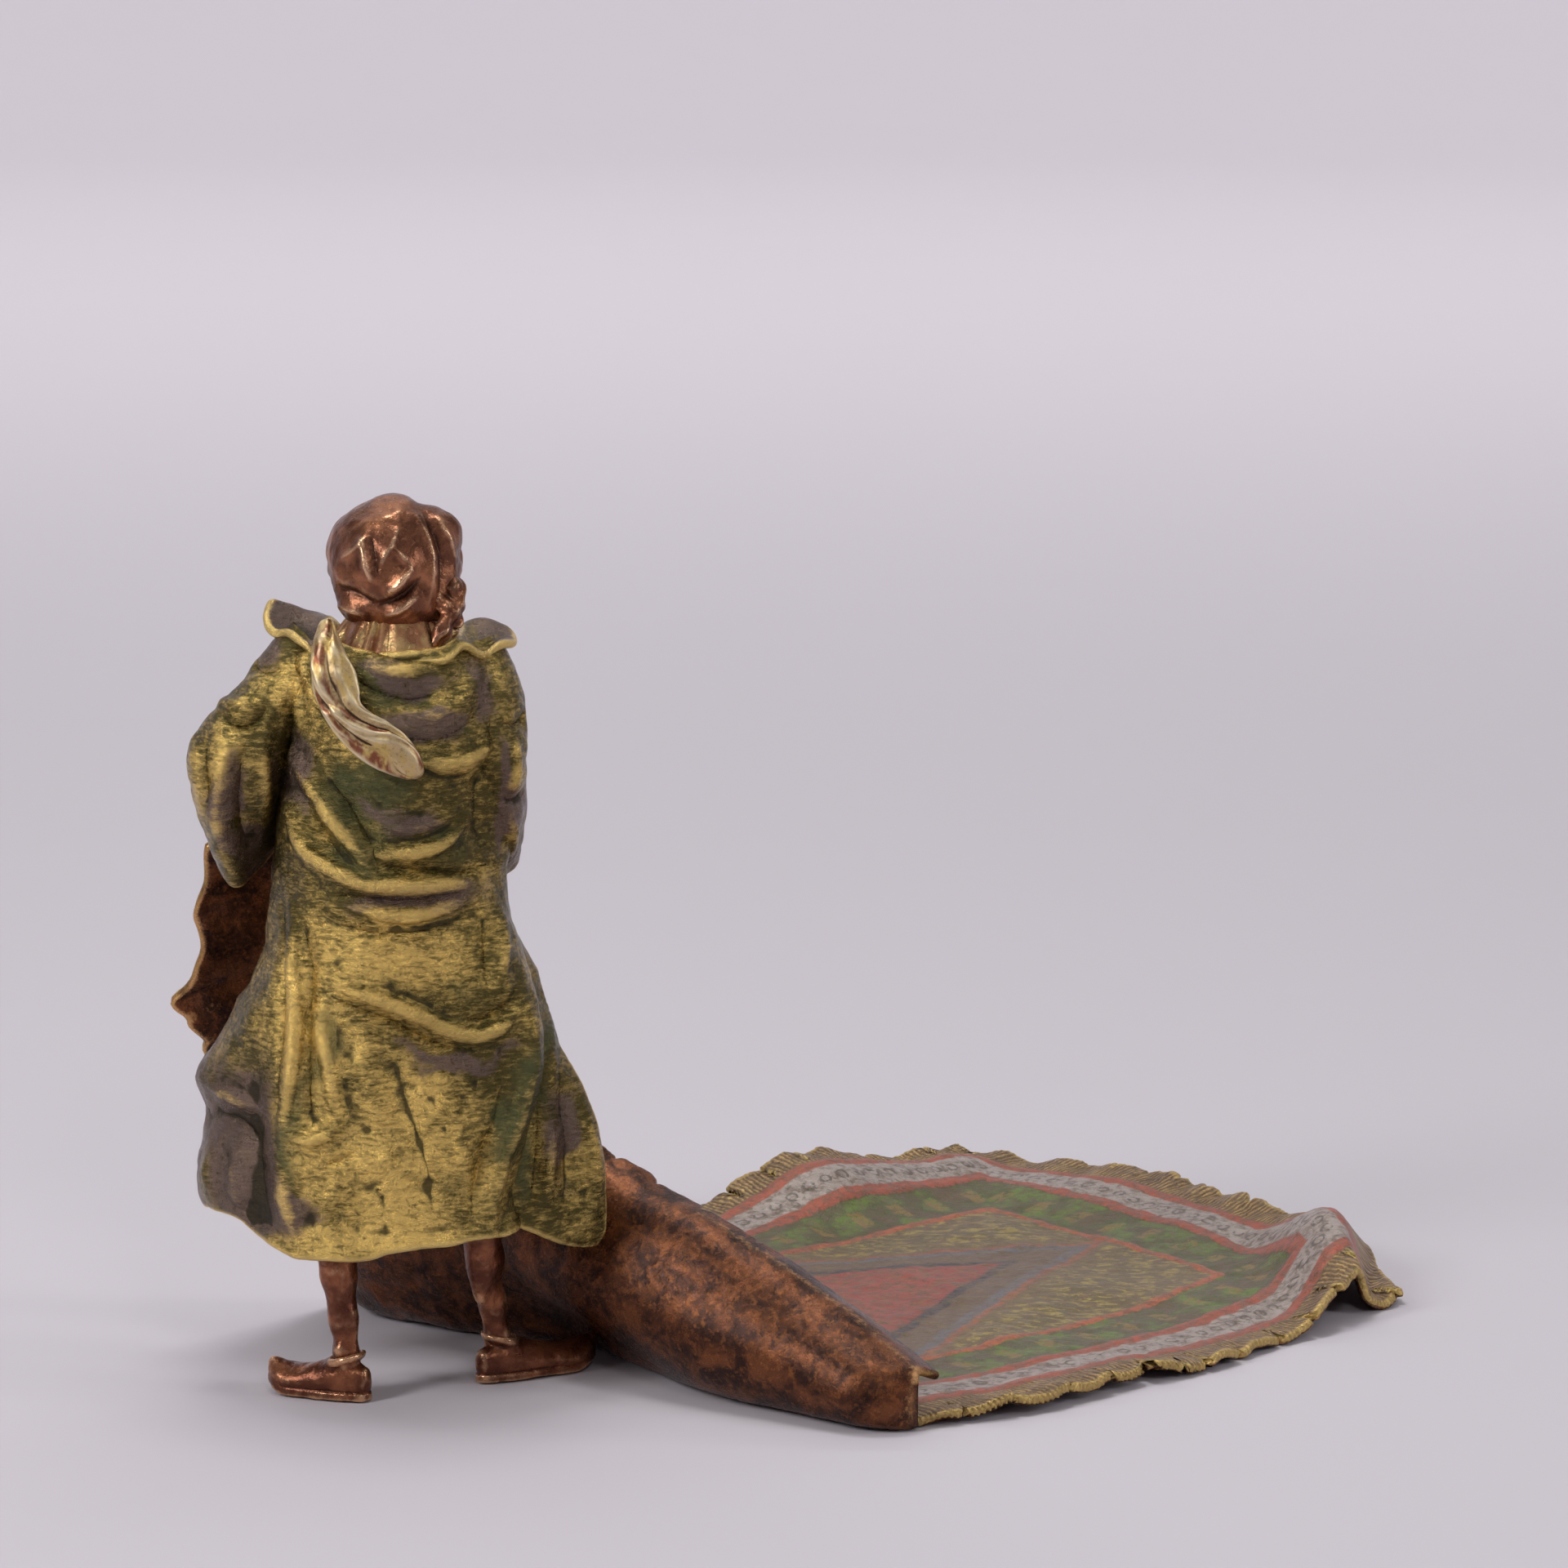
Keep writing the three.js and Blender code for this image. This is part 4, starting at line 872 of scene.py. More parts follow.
ROBE_FOLDS = [
    (1.7, 1.5, 1.9, [(17, 113.5), (14, 108), (11, 103), (8, 98), (5.5, 94), (3, 90.5)]),
    (1.7, 1.3, 1.6, [(17.8, 107), (16.5, 102), (15, 97), (12.5, 94), (9, 92), (5, 90.5)]),
    (-1.5, 1.2, 1.2, [(16.5, 108), (14, 103), (12, 99), (9, 94.5)]),
    (-1.1, 1.4, 1.4, [(12, 110), (8.5, 104), (5.5, 98.5), (3.5, 94.5)]),
    (1.6, 1.2, 1.7, [(6, 96.5), (3, 95.3), (0, 95.2), (-4, 95.8), (-7.5, 97.8), (-10, 101), (-12, 104)]),
    (0.9, 1.3, 1.5, [(4, 101.5), (0, 99.8), (-4, 100.2), (-8, 103), (-11, 107)]),
    (-1.5, 1.3, 1.1, [(4, 93.6), (0, 92.9), (-5, 92.7), (-10, 92.3), (-15, 94)]),
    (1.2, 1.2, 1.4, [(-15.5, 112), (-14.8, 105), (-15.3, 101), (-16.3, 97), (-15.8, 94), (-13.5, 92)]),
    (-0.9, 1.2, 1.2, [(-12.8, 110), (-12.2, 104), (-12.6, 99), (-13.2, 96)]),
    (1.5, 1.0, 1.5, [(11, 92), (6, 90.2), (0, 89.8), (-5, 89.8), (-9, 90.2), (-13, 89)]),
    (-1.5, 1.0, 0.9, [(11, 88.6), (5, 87.9), (0, 87.4), (-5, 88), (-10, 88.8)]),
    (1.4, 0.9, 1.7, [(9, 87), (5, 85.8), (0, 84.8), (-5, 85.4), (-9, 86.8), (-12.5, 88.8)]),
    (-0.7, 1.2, 1.6, [(14, 86), (10, 83.5), (4, 81.8), (-3, 82), (-9, 84)]),
    (1.6, 1.9, 0.7, [(17.5, 88), (16.8, 84), (17.2, 75), (17, 70), (17, 66), (17.6, 60), (18.2, 56),
                     (19, 52), (19.4, 47)]),
    (-1.1, 1.0, 1.0, [(18.8, 90), (18.6, 80), (18.8, 70), (19.6, 60), (20.4, 50), (20.6, 43)]),
    (-1.2, 1.3, 1.3, [(15.4, 84), (14.6, 76), (14.8, 68), (15, 60), (15, 53), (14.6, 48)]),
    (1.2, 1.4, 1.2, [(14, 70), (13, 64), (12, 60), (11.5, 56), (11, 52), (10.6, 47)]),
    (1.0, 1.0, 1.6, [(19.4, 47.5), (16, 46.4), (12.5, 47.3), (10.4, 49.8)]),
    (-0.8, 1.1, 0.9, [(13.5, 42.2), (10.5, 42.8), (7.5, 44.8)]),
    (1.8, 1.5, 1.1, [(11, 73.2), (7, 71.8), (4, 70.8), (0, 69.2), (-4, 67.4), (-7, 65.8), (-10, 64.8),
                     (-13, 64.5),
                     (-16, 65.5), (-18.5, 67.5), (-20, 69.5)]),
    (-1.3, 1.1, 1.1, [(12, 71.5), (8, 69.6), (3, 67.6), (-2, 65), (-8, 62.4), (-13, 62)]),
    (-1.2, 1.2, 1.0, [(-10, 67.2), (-14, 67.3), (-17, 69.3), (-18.5, 72.5)]),
    (1.3, 1.3, 1.3, [(-15.9, 87), (-16.3, 80), (-16.5, 74), (-18, 70.2)]),
    (-0.8, 1.2, 1.2, [(-13.6, 85), (-14, 78), (-14.4, 72)]),
    (1.6, 1.3, 1.6, [(-19.8, 71), (-21.2, 66), (-21.3, 60), (-20.2, 55), (-18.8, 50), (-17.3, 46),
                     (-16, 42), (-15, 38),
                     (-14.3, 34), (-14.2, 30)]),
    (-1.0, 1.5, 1.5, [(-17, 58), (-15.5, 50), (-13.2, 44), (-11.8, 38), (-11, 32)]),
    (0.8, 2.4, 2.4, [(-4, 61), (-8, 52), (-10, 42), (-9, 31)]),
    (0.7, 2.6, 2.6, [(7, 66), (5, 54), (2.5, 42), (1, 29)]),
    (-0.6, 2.2, 2.2, [(2, 62), (-1, 52), (-4, 42), (-5, 30)]),
    (1.1, 1.3, 1.8, [(33.5, 57.5), (28, 54), (22.5, 51.4)]),
    (-0.9, 1.6, 1.6, [(31, 52), (26, 49), (23, 44)]),
    (0.8, 1.8, 1.8, [(27, 47), (27.5, 40), (26.5, 33)]),
    (-0.8, 1.5, 1.5, [(23.2, 50), (23.6, 42), (22, 34), (20, 28)]),
    (0.9, 1.4, 1.8, [(31, 46), (31.8, 40), (30.5, 36)]),
    (0.9, 1.6, 1.6, [(20, 42), (19, 35), (16.5, 27)]),
    (-1.1, 0.9, 0.9, [(7.5, 130.6), (2, 128.6), (-3, 127.6), (-9, 128.6)]),
    (0.9, 1.2, 1.6, [(5.5, 127), (0, 126), (-7, 126.6)]),
    (-0.8, 1.1, 1.1, [(8, 125.4), (3, 122.6), (-2, 121.4), (-7, 122.6)]),
    (0.8, 1.3, 1.6, [(-13, 127), (-10, 121.5), (-5, 118.4), (0, 119.6)]),
    (-0.8, 1.2, 1.2, [(-14.4, 122), (-11, 117), (-6, 114.6), (0, 115.4)]),
    (0.9, 1.0, 1.2, [(-15, 115), (-13, 112.6), (-9, 110.9), (-5, 111)]),
    (-0.9, 0.9, 0.9, [(16, 121), (15, 125), (13, 129.5)]),
    (0.8, 1.2, 1.2, [(17.5, 128), (15.6, 122), (15.2, 116)]),
]


def cast_surface(points, normals, strokes, lumps=0.36, seed=0, depth=1.35):
    """Fold strokes, cut to a depth, and the slightly uneven surface of a hand-modelled casting."""
    carved = carve(points, normals, strokes, depth)
    uneven = rough(points, 5.0, 3, seed) * lumps + noise(points, 15.0, seed + 50) * lumps * 1.8
    return carved + normals * uneven[:, None]


def pick(rows, where):
    """The second column of a table of rows, read off at values of the first."""
    rows = np.asarray(rows, float)
    return interp(rows[:, 0], rows[:, 1], where)


def robe_piece(name, grid, half, node, **sheet):
    """A sheet of the robe about a grid, painted in its own tints."""
    points, faces, border, _ = leaf(grid, half, **sheet)
    values = {"border": border, **tints(points)}
    add_piece(name, points, faces, ROBE, [node], values, reach=2.2)


def robe_back():
    turn = shares(250, 130.0)
    climb = shares(300, 105.0)
    u, v = np.meshgrid(turn, climb, indexing="ij")
    across = (1 - np.cos(np.pi * u)) / 2
    hem = np.asarray(HEM[::-1], float)
    hem_x = LEFT_OUTLINE[1][1] + (RIGHT_OUTLINE[1][1] - LEFT_OUTLINE[1][1]) * across
    low = interp(hem[:, 0], hem[:, 1], hem_x)
    sideways = np.abs(2 * across - 1)
    top = ROBE_TOP + 2.6 * sideways**2 - 3.4 * sideways**6
    z = low + (top - low) * v
    left, right = pick(LEFT_OUTLINE, z), pick(RIGHT_OUTLINE, z)
    x = left + (right - left) * across
    side = pick(LEFT_DEPTH, z) * (1 - across) + pick(RIGHT_DEPTH, z) * across
    y = side + (pick(BACK_DEPTH, z) - side) * np.sin(np.pi * u) ** 0.8
    y -= 4.5 * smoothstep(18.8, 25, x) * smoothstep(68, 54, z)
    grid = seen_at(x, z, y)
    hood = np.asarray(HOOD_HEM, float)
    over = smoothstep(-0.5, 0.5, z - interp(hood[:, 0], hood[:, 1], x))
    flare = smoothstep(4.0, 0.0, z - low)
    normals = grid_normals(grid)
    grid = grid + normals * (1.5 * over + 0.8 * flare)[..., None]
    flat, flat_normals = grid.reshape(-1, 3), grid_normals(grid).reshape(-1, 3)
    carved = cast_surface(flat, flat_normals, ROBE_FOLDS, seed=11).reshape(grid.shape)
    robe_piece("robe_back", carved, 0.85, "cloak")


FLAP_OUTLINE = [  # (z, x) of the outer edge
    (27, -30.6), (28, -32), (30, -33.5), (33, -34.1), (36, -33.9), (41, -33.4), (45, -32.9), (48, -32.4),
    (51.5, -31.6),
    (55, -30.1), (58, -28.1), (61.5, -26.1), (65, -24.5), (70, -22.7), (76, -21.5), (81, -18.8), (84, -17.2),
]
FLAP_ROOT = [(29, -17.2), (38, -17), (44, -17.8), (50, -19), (58, -20.4), (65, -20.2), (72, -19),
             (78, -17.4), (84, -15.8)]
FLAP_TOP = 84
FLAP_FOLDS = [
    (0.8, 1.2, 1.2, [(-21.5, 76), (-22.6, 70), (-24, 62), (-24.6, 54)]),
    (-1.2, 1.8, 1.8, [(-25, 60), (-26.8, 52), (-27.4, 44), (-26.4, 35)]),
    (1.1, 1.6, 1.6, [(-29, 55), (-31, 47), (-31.8, 39), (-31, 31)]),
    (-0.8, 1.2, 1.2, [(-22, 60), (-22.6, 50), (-21.8, 41), (-21, 35)]),
    (0.8, 1.3, 1.3, [(-24.6, 50), (-24.4, 42), (-23.4, 34)]),
]


def robe_flap():
    turn, climb = shares(70, 16.0), shares(180, 56.0)
    u, v = np.meshgrid(turn, climb, indexing="ij")
    low = 31.8 - 3.9 * np.sin(np.pi * u * 0.62) ** 1.3
    z = low + (FLAP_TOP - low) * v
    root, edge = pick(FLAP_ROOT, z), pick(FLAP_OUTLINE, z)
    x = root + (edge - root) * u
    y = 3.6 - 8.0 * u**1.25 + 1.2 * np.sin(np.pi * u) - 3.0 * smoothstep(66, FLAP_TOP, z)
    grid = seen_at(x, z, y)
    normals = grid_normals(grid).reshape(-1, 3)
    carved = cast_surface(grid.reshape(-1, 3), normals, FLAP_FOLDS, seed=23).reshape(grid.shape)
    robe_piece("robe_right_side", carved, 0.8, "robe_right_flap")


# ------------------------------------------------------------------ sleeves
# Stations: x, y, z, radius above, radius below, radius to the sides.
LEFT_SLEEVE = [
    (13.5, -0.5, 128.6, 4.6, 4.6, 5), (17.8, 0.5, 124.2, 5.6, 5.6, 5.6), (22.2, 1.5, 118.6, 5.8, 5.8, 5.4),
    (26.8, 1.6, 112, 7.2, 7.2, 7.2), (27.9, -2.8, 106.6, 8.4, 9.8, 7.3), (27.2, -8.5, 102.6, 8, 13.2, 6.4),
    (26.5, -12.5, 100.4, 7.6, 14.4, 6.0),
]
RIGHT_SLEEVE = [
    (-11, -0.5, 128.8, 4.5, 4.5, 4.6), (-13.5, 0.5, 122.5, 5.8, 5.8, 5.3), (-14.8, 1, 116, 5.8, 5.8, 5.1),
    (-15.5, 0.8, 109, 6.1, 6.4, 5.3), (-15.6, -4, 102.8, 6.6, 8.6, 5.1), (-15.2, -9, 99, 6.3, 10.2, 4.9),
    (-14.6, -13, 96.8, 6, 11, 4.8),
]
LEFT_SLEEVE_FOLDS = [
    (-1.3, 1.3, 1.3, [(29.5, 119), (26.5, 117), (23.6, 117.4), (21.4, 120.4)]),
    (0.8, 1.6, 1.4, [(30.5, 121), (26.5, 120), (22.6, 122.6)]),
    (0.8, 1.8, 2.2, [(28, 114), (29.4, 109), (30, 103), (28.6, 96), (27, 91)]),
    (-1.1, 2.0, 2.0, [(25.6, 114), (26.2, 108), (26.4, 102), (25.6, 96)]),
    (0.8, 1.1, 1.3, [(33.6, 116), (33.4, 110), (32.4, 104)]),
    (-0.9, 1.1, 1.1, [(31.6, 115), (32, 109), (31.2, 103)]),
    (0.9, 1.1, 1.1, [(22.6, 114), (22.6, 107), (23.2, 100)]),
    (-0.7, 1.0, 1.0, [(24.6, 128.4), (21.4, 125.6), (18.4, 127)]),
]
RIGHT_SLEEVE_FOLDS = [
    (-1.0, 1.1, 1.1, [(-20.5, 119.4), (-18.8, 117.2), (-16.5, 117.8)]),
    (-0.9, 1.1, 1.1, [(-20.6, 106), (-19, 104), (-17, 104.6)]),
    (0.8, 1.1, 1.1, [(-18.6, 115), (-19.2, 110), (-18.6, 106)]),
    (0.8, 1.0, 1.0, [(-18.4, 103), (-18.8, 98), (-17.8, 94)]),
]


def sleeve(name, stations, strokes, node, tip_shift, seed):
    rows = np.asarray(stations, float)
    knots = np.linspace(0, 1, len(rows))
    run = np.concatenate([np.linspace(0, 0.975, 130), 1 - np.array([0.018, 0.011, 0.005, 0.0015, 0])])
    at = interp(knots, rows, run)
    tangent = unit(np.gradient(at[:, :3], run, axis=0))
    outward = unit(np.array([1.0, 0, 0]) - tangent * tangent[:, :1])
    above = np.cross(tangent, outward)
    angle = np.linspace(0, 2 * np.pi, 150, endpoint=False)
    c, s = np.cos(angle)[:, None], np.sin(angle)[:, None]
    below = np.clip(-s, 0, 1)
    drop = smoothstep(0.4, 1.0, run)[None, :]
    side = at[None, :, 5] * c * (1 - 0.5 * below**2 * drop)
    rise = np.where(s > 0, at[None, :, 3], at[None, :, 4]) * s
    grid = at[None, :, :3] + outward[None] * side[..., None] + above[None] * rise[..., None]
    grid[..., 0] += tip_shift * below**2 * drop
    frill = smoothstep(0.8, 1.0, run)[None, :] * np.sin(angle * 7)[:, None] * 0.35
    normals = grid_normals(grid, closed=True)
    sign = np.sign((normals * (grid - at[None, :, :3])).sum())
    grid = grid + normals * sign * frill[..., None]
    flat = grid.reshape(-1, 3)
    carved = cast_surface(flat, (normals * sign).reshape(-1, 3), strokes, seed=seed).reshape(grid.shape)
    robe_piece(name, carved, 0.75, node, closed=True, out=sign, ends=(False, True))


# ------------------------------------------------------------------ collar with its two wings
# Rows from the left front round the back to the right front. Each runs from the neck outwards.
COLLAR = [  # x and z on the back plane, then depth
    [(8, 131.6, -10.5), (10, 132.6, -11), (12, 133.4, -11.4)],
    [(9.6, 133.6, -8.5), (13, 135.4, -9), (15.6, 136.2, -9.4)],
    [(10.4, 134.6, -6), (15.2, 135, -6.5), (20.4, 137.9, -6.8)],
    [(10.8, 134, -2.5), (15.6, 131.6, -1.8), (21.9, 135.2, -1.4)],
    [(10.8, 133, 1.5), (13.6, 130.4, 3), (18.2, 132.4, 3.6)],
    [(10.4, 131.8, 5.5), (12.4, 130.2, 6.6), (13.6, 129.4, 7)],
    [(7.8, 130.2, 9.4), (9, 129, 10.6), (9.8, 128, 11.2)],
    [(2.8, 128.8, 10.4), (3, 127.8, 11.4), (3.2, 126.8, 11.8)],
    [(-2.6, 128.6, 10.4), (-2.8, 127.6, 11.4), (-3, 126.6, 11.8)],
    [(-7.2, 130, 9.2), (-8.2, 129, 10.2), (-9, 128, 10.6)],
    [(-9.4, 131.6, 5.8), (-10.8, 130.4, 6.6), (-12, 129.4, 6.8)],
    [(-9.9, 132.4, 2), (-12.6, 130.2, 3.4), (-16.6, 129.4, 4)],
    [(-10.2, 132.8, -2.4), (-14.6, 130.8, -1.6), (-19.8, 130.8, -1.2)],
    [(-10, 133, -6.4), (-14, 134.2, -7), (-18.4, 133, -7.4)],
    [(-8, 131.4, -10.4), (-10.4, 132.6, -11), (-12.4, 133, -11.4)],
]


def collar():
    rows = np.asarray([along(row, shares(26, 8.0)) for row in COLLAR])
    rows = seen_at(rows[..., 0], rows[..., 1], rows[..., 2])
    turn = shares(300, 90.0)
    grid = interp(np.linspace(0, 1, len(rows)), rows, turn)
    out = np.linspace(0, 1, grid.shape[1])[None, :] ** 1.6
    ruffle = np.sin(turn * 47)[:, None] * 0.4 + noise(grid, 3.4, 31) * 1.0
    grid[..., 2] += ruffle * out
    grid[..., 1] += (np.sin(turn * 61 + 1)[:, None] * 0.4 + noise(grid, 2.6, 37) * 0.4) * out
    out_sign = np.sign(grid_normals(grid)[..., 2].mean())
    points, faces, border, _ = leaf(grid, 0.75, out=out_sign)
    values = {"border": border, **tints(points)}
    values["dark"] = np.clip(values["dark"] + smoothstep(12, 15, np.abs(points[:, 0])) * 0.8, 0, 1)
    add_piece("hood_collar_wings", points, faces, ROBE, ["hood_collar"], values)


# ------------------------------------------------------------------ scarf tail over the left shoulder
SCARF_PATH = [  # x and z on the back plane, depth, half width, half thickness
    (11.2, 134.6, 8.0, 1.2, 1.0), (11.7, 131.5, 12.0, 1.9, 1.2), (11.2, 127.5, 14.4, 2.9, 1.4),
    (9.9, 122.8, 15.4, 3.4, 1.4),
    (8.2, 118.6, 16.0, 3.0, 1.5), (5.0, 115, 16.4, 3.5, 1.5), (1.6, 112.8, 16.5, 3.4, 1.5),
    (-1.6, 110.4, 16.2, 2.6, 1.3),
    (-3.6, 108.4, 15.6, 1.3, 0.9),
]


def scarf():
    rows = np.asarray(SCARF_PATH, float)
    run = np.linspace(0, 1, 260)
    at = interp(np.linspace(0, 1, len(rows)), rows, run)
    centre = seen_at(at[:, 0], at[:, 1], at[:, 2])
    tangent = unit(np.gradient(centre, run, axis=0))
    over = unit(np.array([0.0, 1, 0]) - tangent * tangent[:, 1:2])
    side = np.cross(over, tangent)
    angle = np.linspace(0, 2 * np.pi, 96, endpoint=False)
    a, r = np.meshgrid(angle, run, indexing="ij")
    turns = a / (2 * np.pi) * 4 + r * 0.8 + 0.35 * np.sin(r * 9 + a)
    groove = np.abs(np.sin(np.pi * turns)) ** 0.8 * 0.3 - 0.18
    fine = 0.04 * np.sin(2 * np.pi * (turns * 3.0 + r * 3))
    ends = np.sqrt(np.clip(1 - (2 * r - 1) ** 24, 0, 1)) + 1e-3
    wide = at[:, 3][None, :] * (1 + groove + fine) * ends
    thick = at[:, 4][None, :] * (1 + groove + fine) * ends
    sideways = side[None] * (np.cos(a) * wide)[..., None]
    upwards = over[None] * (np.sin(a) * thick)[..., None]
    grid = centre[None] + sideways + upwards
    flat = grid.reshape(-1, 3)
    flat = flat + noise(flat, 2.4, 41)[:, None] * 0.35
    faces = grid_faces(*grid.shape[:2], closed=True)
    middles = np.repeat(centre[None], len(angle), 0).reshape(-1, 3)
    if (face_normals(flat, faces) * (flat - middles)[faces[:, 0]]).sum() < 0:
        faces = faces[:, ::-1]
    values = {"twist": turns.ravel()}
    add_piece("scarf_tail_twisted", flat, faces, SCARF, ["scarf_tail"], values)


# ------------------------------------------------------------------ head, face and head cloth
HEAD_MIDDLE = 0.3  # x of the face's middle


EYE, EYE_RADII = (2.75, -10.55, 142.5), (1.25, 1.15, 1.0)
LIP_HEIGHT = 136.4


def mirrored(p):
    """Points with those on the right of the face moved over to its left."""
    q = p.copy()
    q[..., 0] = np.abs(p[..., 0] - HEAD_MIDDLE)
    return q


def beard_shape(q):
    chin = ellipsoid(q, (0, -9.4, 133.0), (4.7, 4.0, 5.0))
    jaw = chain(q, [(6.3, -4.6, 140.6, 1.2), (5.6, -7.4, 137.2, 1.7), (3.6, -10.2, 134.6, 1.9)])
    return melt(chin, jaw, 1.6)


def moustache_shape(q):
    return chain(q, [(0.2, -12.9, 138.0, 0.75), (2.2, -12.3, 137.3, 0.8), (4.2, -10.6, 135.8, 0.45)])


def face_shape(p):
    q = mirrored(p)
    skull = ellipsoid(q, (0, -3.6, 144.2), (7.3, 8.7, 8.2))
    jaw = ellipsoid(q, (0, -6.2, 138.0), (5.7, 6.5, 6.2))
    head = melt(skull, jaw, 3.0)
    head = melt(head, rod(q, (0.6, -11.7, 144.3), (4.2, -10.5, 144.1), 0.8, 0.6), 1.2)
    head = melt(head, ellipsoid(q, (3.9, -9.7, 140.0), (2.0, 1.9, 1.9)), 1.6)
    head = scoop(head, ellipsoid(q, (2.75, -12.4, 142.6), (1.8, 1.35, 1.05)), 0.7)
    head = melt(head, ellipsoid(q, EYE, EYE_RADII), 0.12)
    for lid in (0.62, -0.56):
        arc = [(1.5, -11.35, 142.5, 0.2), (2.1, -11.78, 142.5 + lid, 0.27), (3.1, -11.66, 142.5 + lid, 0.27),
               (4.1, -10.75, 142.5, 0.2)]
        head = melt(head, chain(q, arc, 0.2), 0.3)
    nose = chain(q, [(0, -12.0, 143.6, 0.75), (0, -13.2, 141.4, 0.85), (0, -14.0, 139.9, 1.05)], 0.5)
    head = melt(head, nose, 0.6)
    head = melt(head, ellipsoid(q, (1.05, -12.9, 139.6), (0.75, 0.95, 0.65)), 0.4)
    head = melt(head, rod(q, (0, -12.5, 136.9), (1.7, -11.9, 136.6), 0.45, 0.25), 0.4)
    head = melt(head, rod(q, (0, -12.5, 136.0), (1.5, -11.9, 136.1), 0.55, 0.3), 0.35)
    head = melt(head, moustache_shape(q), 0.4)
    head = melt(head, beard_shape(q), 0.8)
    neck = rod(p, (HEAD_MIDDLE, -3.6, 138), (0, -2, 126), 5.4, 5.8)
    return melt(head, neck, 1.5)


def face():
    points, faces = sampled(face_shape, (-8.6, -15.8, 125.5), (9.2, 6.2, 153.2), 0.25)
    normals = vertex_normals(points, faces)
    q = mirrored(points)
    brow = rod(q, (1.0, -11.9, 144.6), (4.4, -10.4, 144.6), 0.55, 0.3)
    hair = smoothstep(0.45, 0.1, np.minimum(np.minimum(beard_shape(q), moustache_shape(q)), brow))
    mouth = rod(q, (0, -12.6, LIP_HEIGHT), (1.5, -12.0, LIP_HEIGHT - 0.1), 0.75, 0.4)
    lips = smoothstep(0.3, 0.1, mouth) * smoothstep(0.9, 0.5, np.abs(points[:, 2] - LIP_HEIGHT))
    hair = hair * (1 - lips)
    open_lids = smoothstep(0.75, 0.6, np.abs(points[:, 2] - EYE[2]))
    eye = smoothstep(0.16, 0.04, ellipsoid(q, EYE, EYE_RADII)) * open_lids
    iris = smoothstep(0.5, 0.42, np.hypot(q[:, 0] - EYE[0], points[:, 2] - EYE[2] + 0.08)) * eye
    strands = np.sin(points[:, 0] * 5.2 + noise(points, 2.2, 53) * 3.0) * 0.12 + noise(points, 0.9, 55) * 0.12
    points = points + normals * (hair * strands)[:, None]
    values = {"hair": hair, "eye": eye * (1 - iris), "iris": iris, "lip": lips * 0.8}
    add_piece("face_and_neck", points, faces, SKIN, ["head"], values, reach=0.7)


WRAP_FOLDS = [
    (0.55, 0.9, 2.0, [(10, 144.5), (7.5, 145.6), (5.2, 147.4), (4.2, 150)]),
    (0.7, 0.9, 2.2, [(5.4, 148.4), (4.8, 144), (3.9, 140.6)]),
    (-0.45, 0.9, 0.9, [(3.9, 148.6), (3.3, 145), (2.8, 141.6)]),
    (0.5, 1.0, 1.8, [(2.6, 143.4), (1.6, 145.4), (0.5, 147), (-0.6, 150)]),
    (0.45, 1.0, 1.8, [(0.5, 147), (-1.4, 144.6), (-3.2, 142.2)]),
    (-0.9, 1.4, 0.7, [(9.8, 140.4), (7.4, 139.4), (5, 138.2), (3, 137.2)]),
    (-1.1, 1.6, 0.7, [(3.4, 137.2), (0.6, 138), (-2, 139.6), (-4.2, 142.2)]),
    (0.7, 0.7, 1.4, [(9.6, 137.4), (7, 136.4), (4.6, 135.2)]),
    (0.6, 0.8, 1.6, [(2.4, 135.4), (-0.8, 136.6), (-3.6, 138.8)]),
    (0.9, 0.9, 1.5, [(1.4, 138.8), (-0.6, 140.8), (-2.6, 143.4)]),
    (0.6, 0.9, 1.8, [(-2.4, 152.6), (-5, 149), (-5.8, 143), (-5.2, 137)]),
    (-0.6, 0.8, 1.2, [(-4.4, 152.4), (-7, 147), (-7.4, 142), (-6.6, 136)]),
    (0.6, 0.9, 1.6, [(-6.2, 152.4), (-8.8, 148), (-9, 142), (-8.0, 136)]),
    (0.35, 1.6, 2.4, [(8.4, 151.4), (3, 150.8), (-1.6, 152), (-6, 151)]),
]


def wrap_shape(p):
    crown = ellipsoid(p, (1.0, -2.8, 143.6), (11.0, 11.4, 9.7))
    back = ellipsoid(p, (0.7, -0.4, 138.6), (9.7, 9.4, 8.2))
    cloth = melt(crown, back, 2.5)
    cloth = melt(cloth, ellipsoid(p, (-6.4, -1.0, 147.6), (4.2, 5.0, 4.2)), 2.2)
    opening = ellipsoid(p, (0.3, -14.4, 140.2), (6.6, 8.6, 7.6))
    cloth = scoop(cloth, opening, 0.6)
    cloth = scoop(cloth, ellipsoid(p, (0.3, -12.6, 131.5), (6.4, 9.5, 8.0)), 0.8)
    inside = ellipsoid(p, (0.3, -4.6, 135.0), (6.0, 6.6, 8.0))
    return scoop(scoop(cloth, inside, 0.3), p[..., 2] - 130.6, 0.5)


def head_wrap():
    points, faces = sampled(wrap_shape, (-12.2, -15.6, 129.8), (13.2, 10.8, 154.8), 0.32)
    points = spread(points, edges_of(faces), 1)
    normals = vertex_normals(points, faces)
    bands = np.sin((points[:, 2] * 0.9 + points[:, 0] * 0.55 + noise(points, 5.0, 61) * 2.5) * 1.15)
    front = smoothstep(2.0, -5.0, points[:, 1])
    points = points + normals * (front * bands * 0.3)[:, None]
    points = cast_surface(points, vertex_normals(points, faces), WRAP_FOLDS, lumps=0.3, seed=63, depth=1.6)
    add_piece("head_wrap", points, faces, CLOTH, ["head_cloth"], reach=1.0)


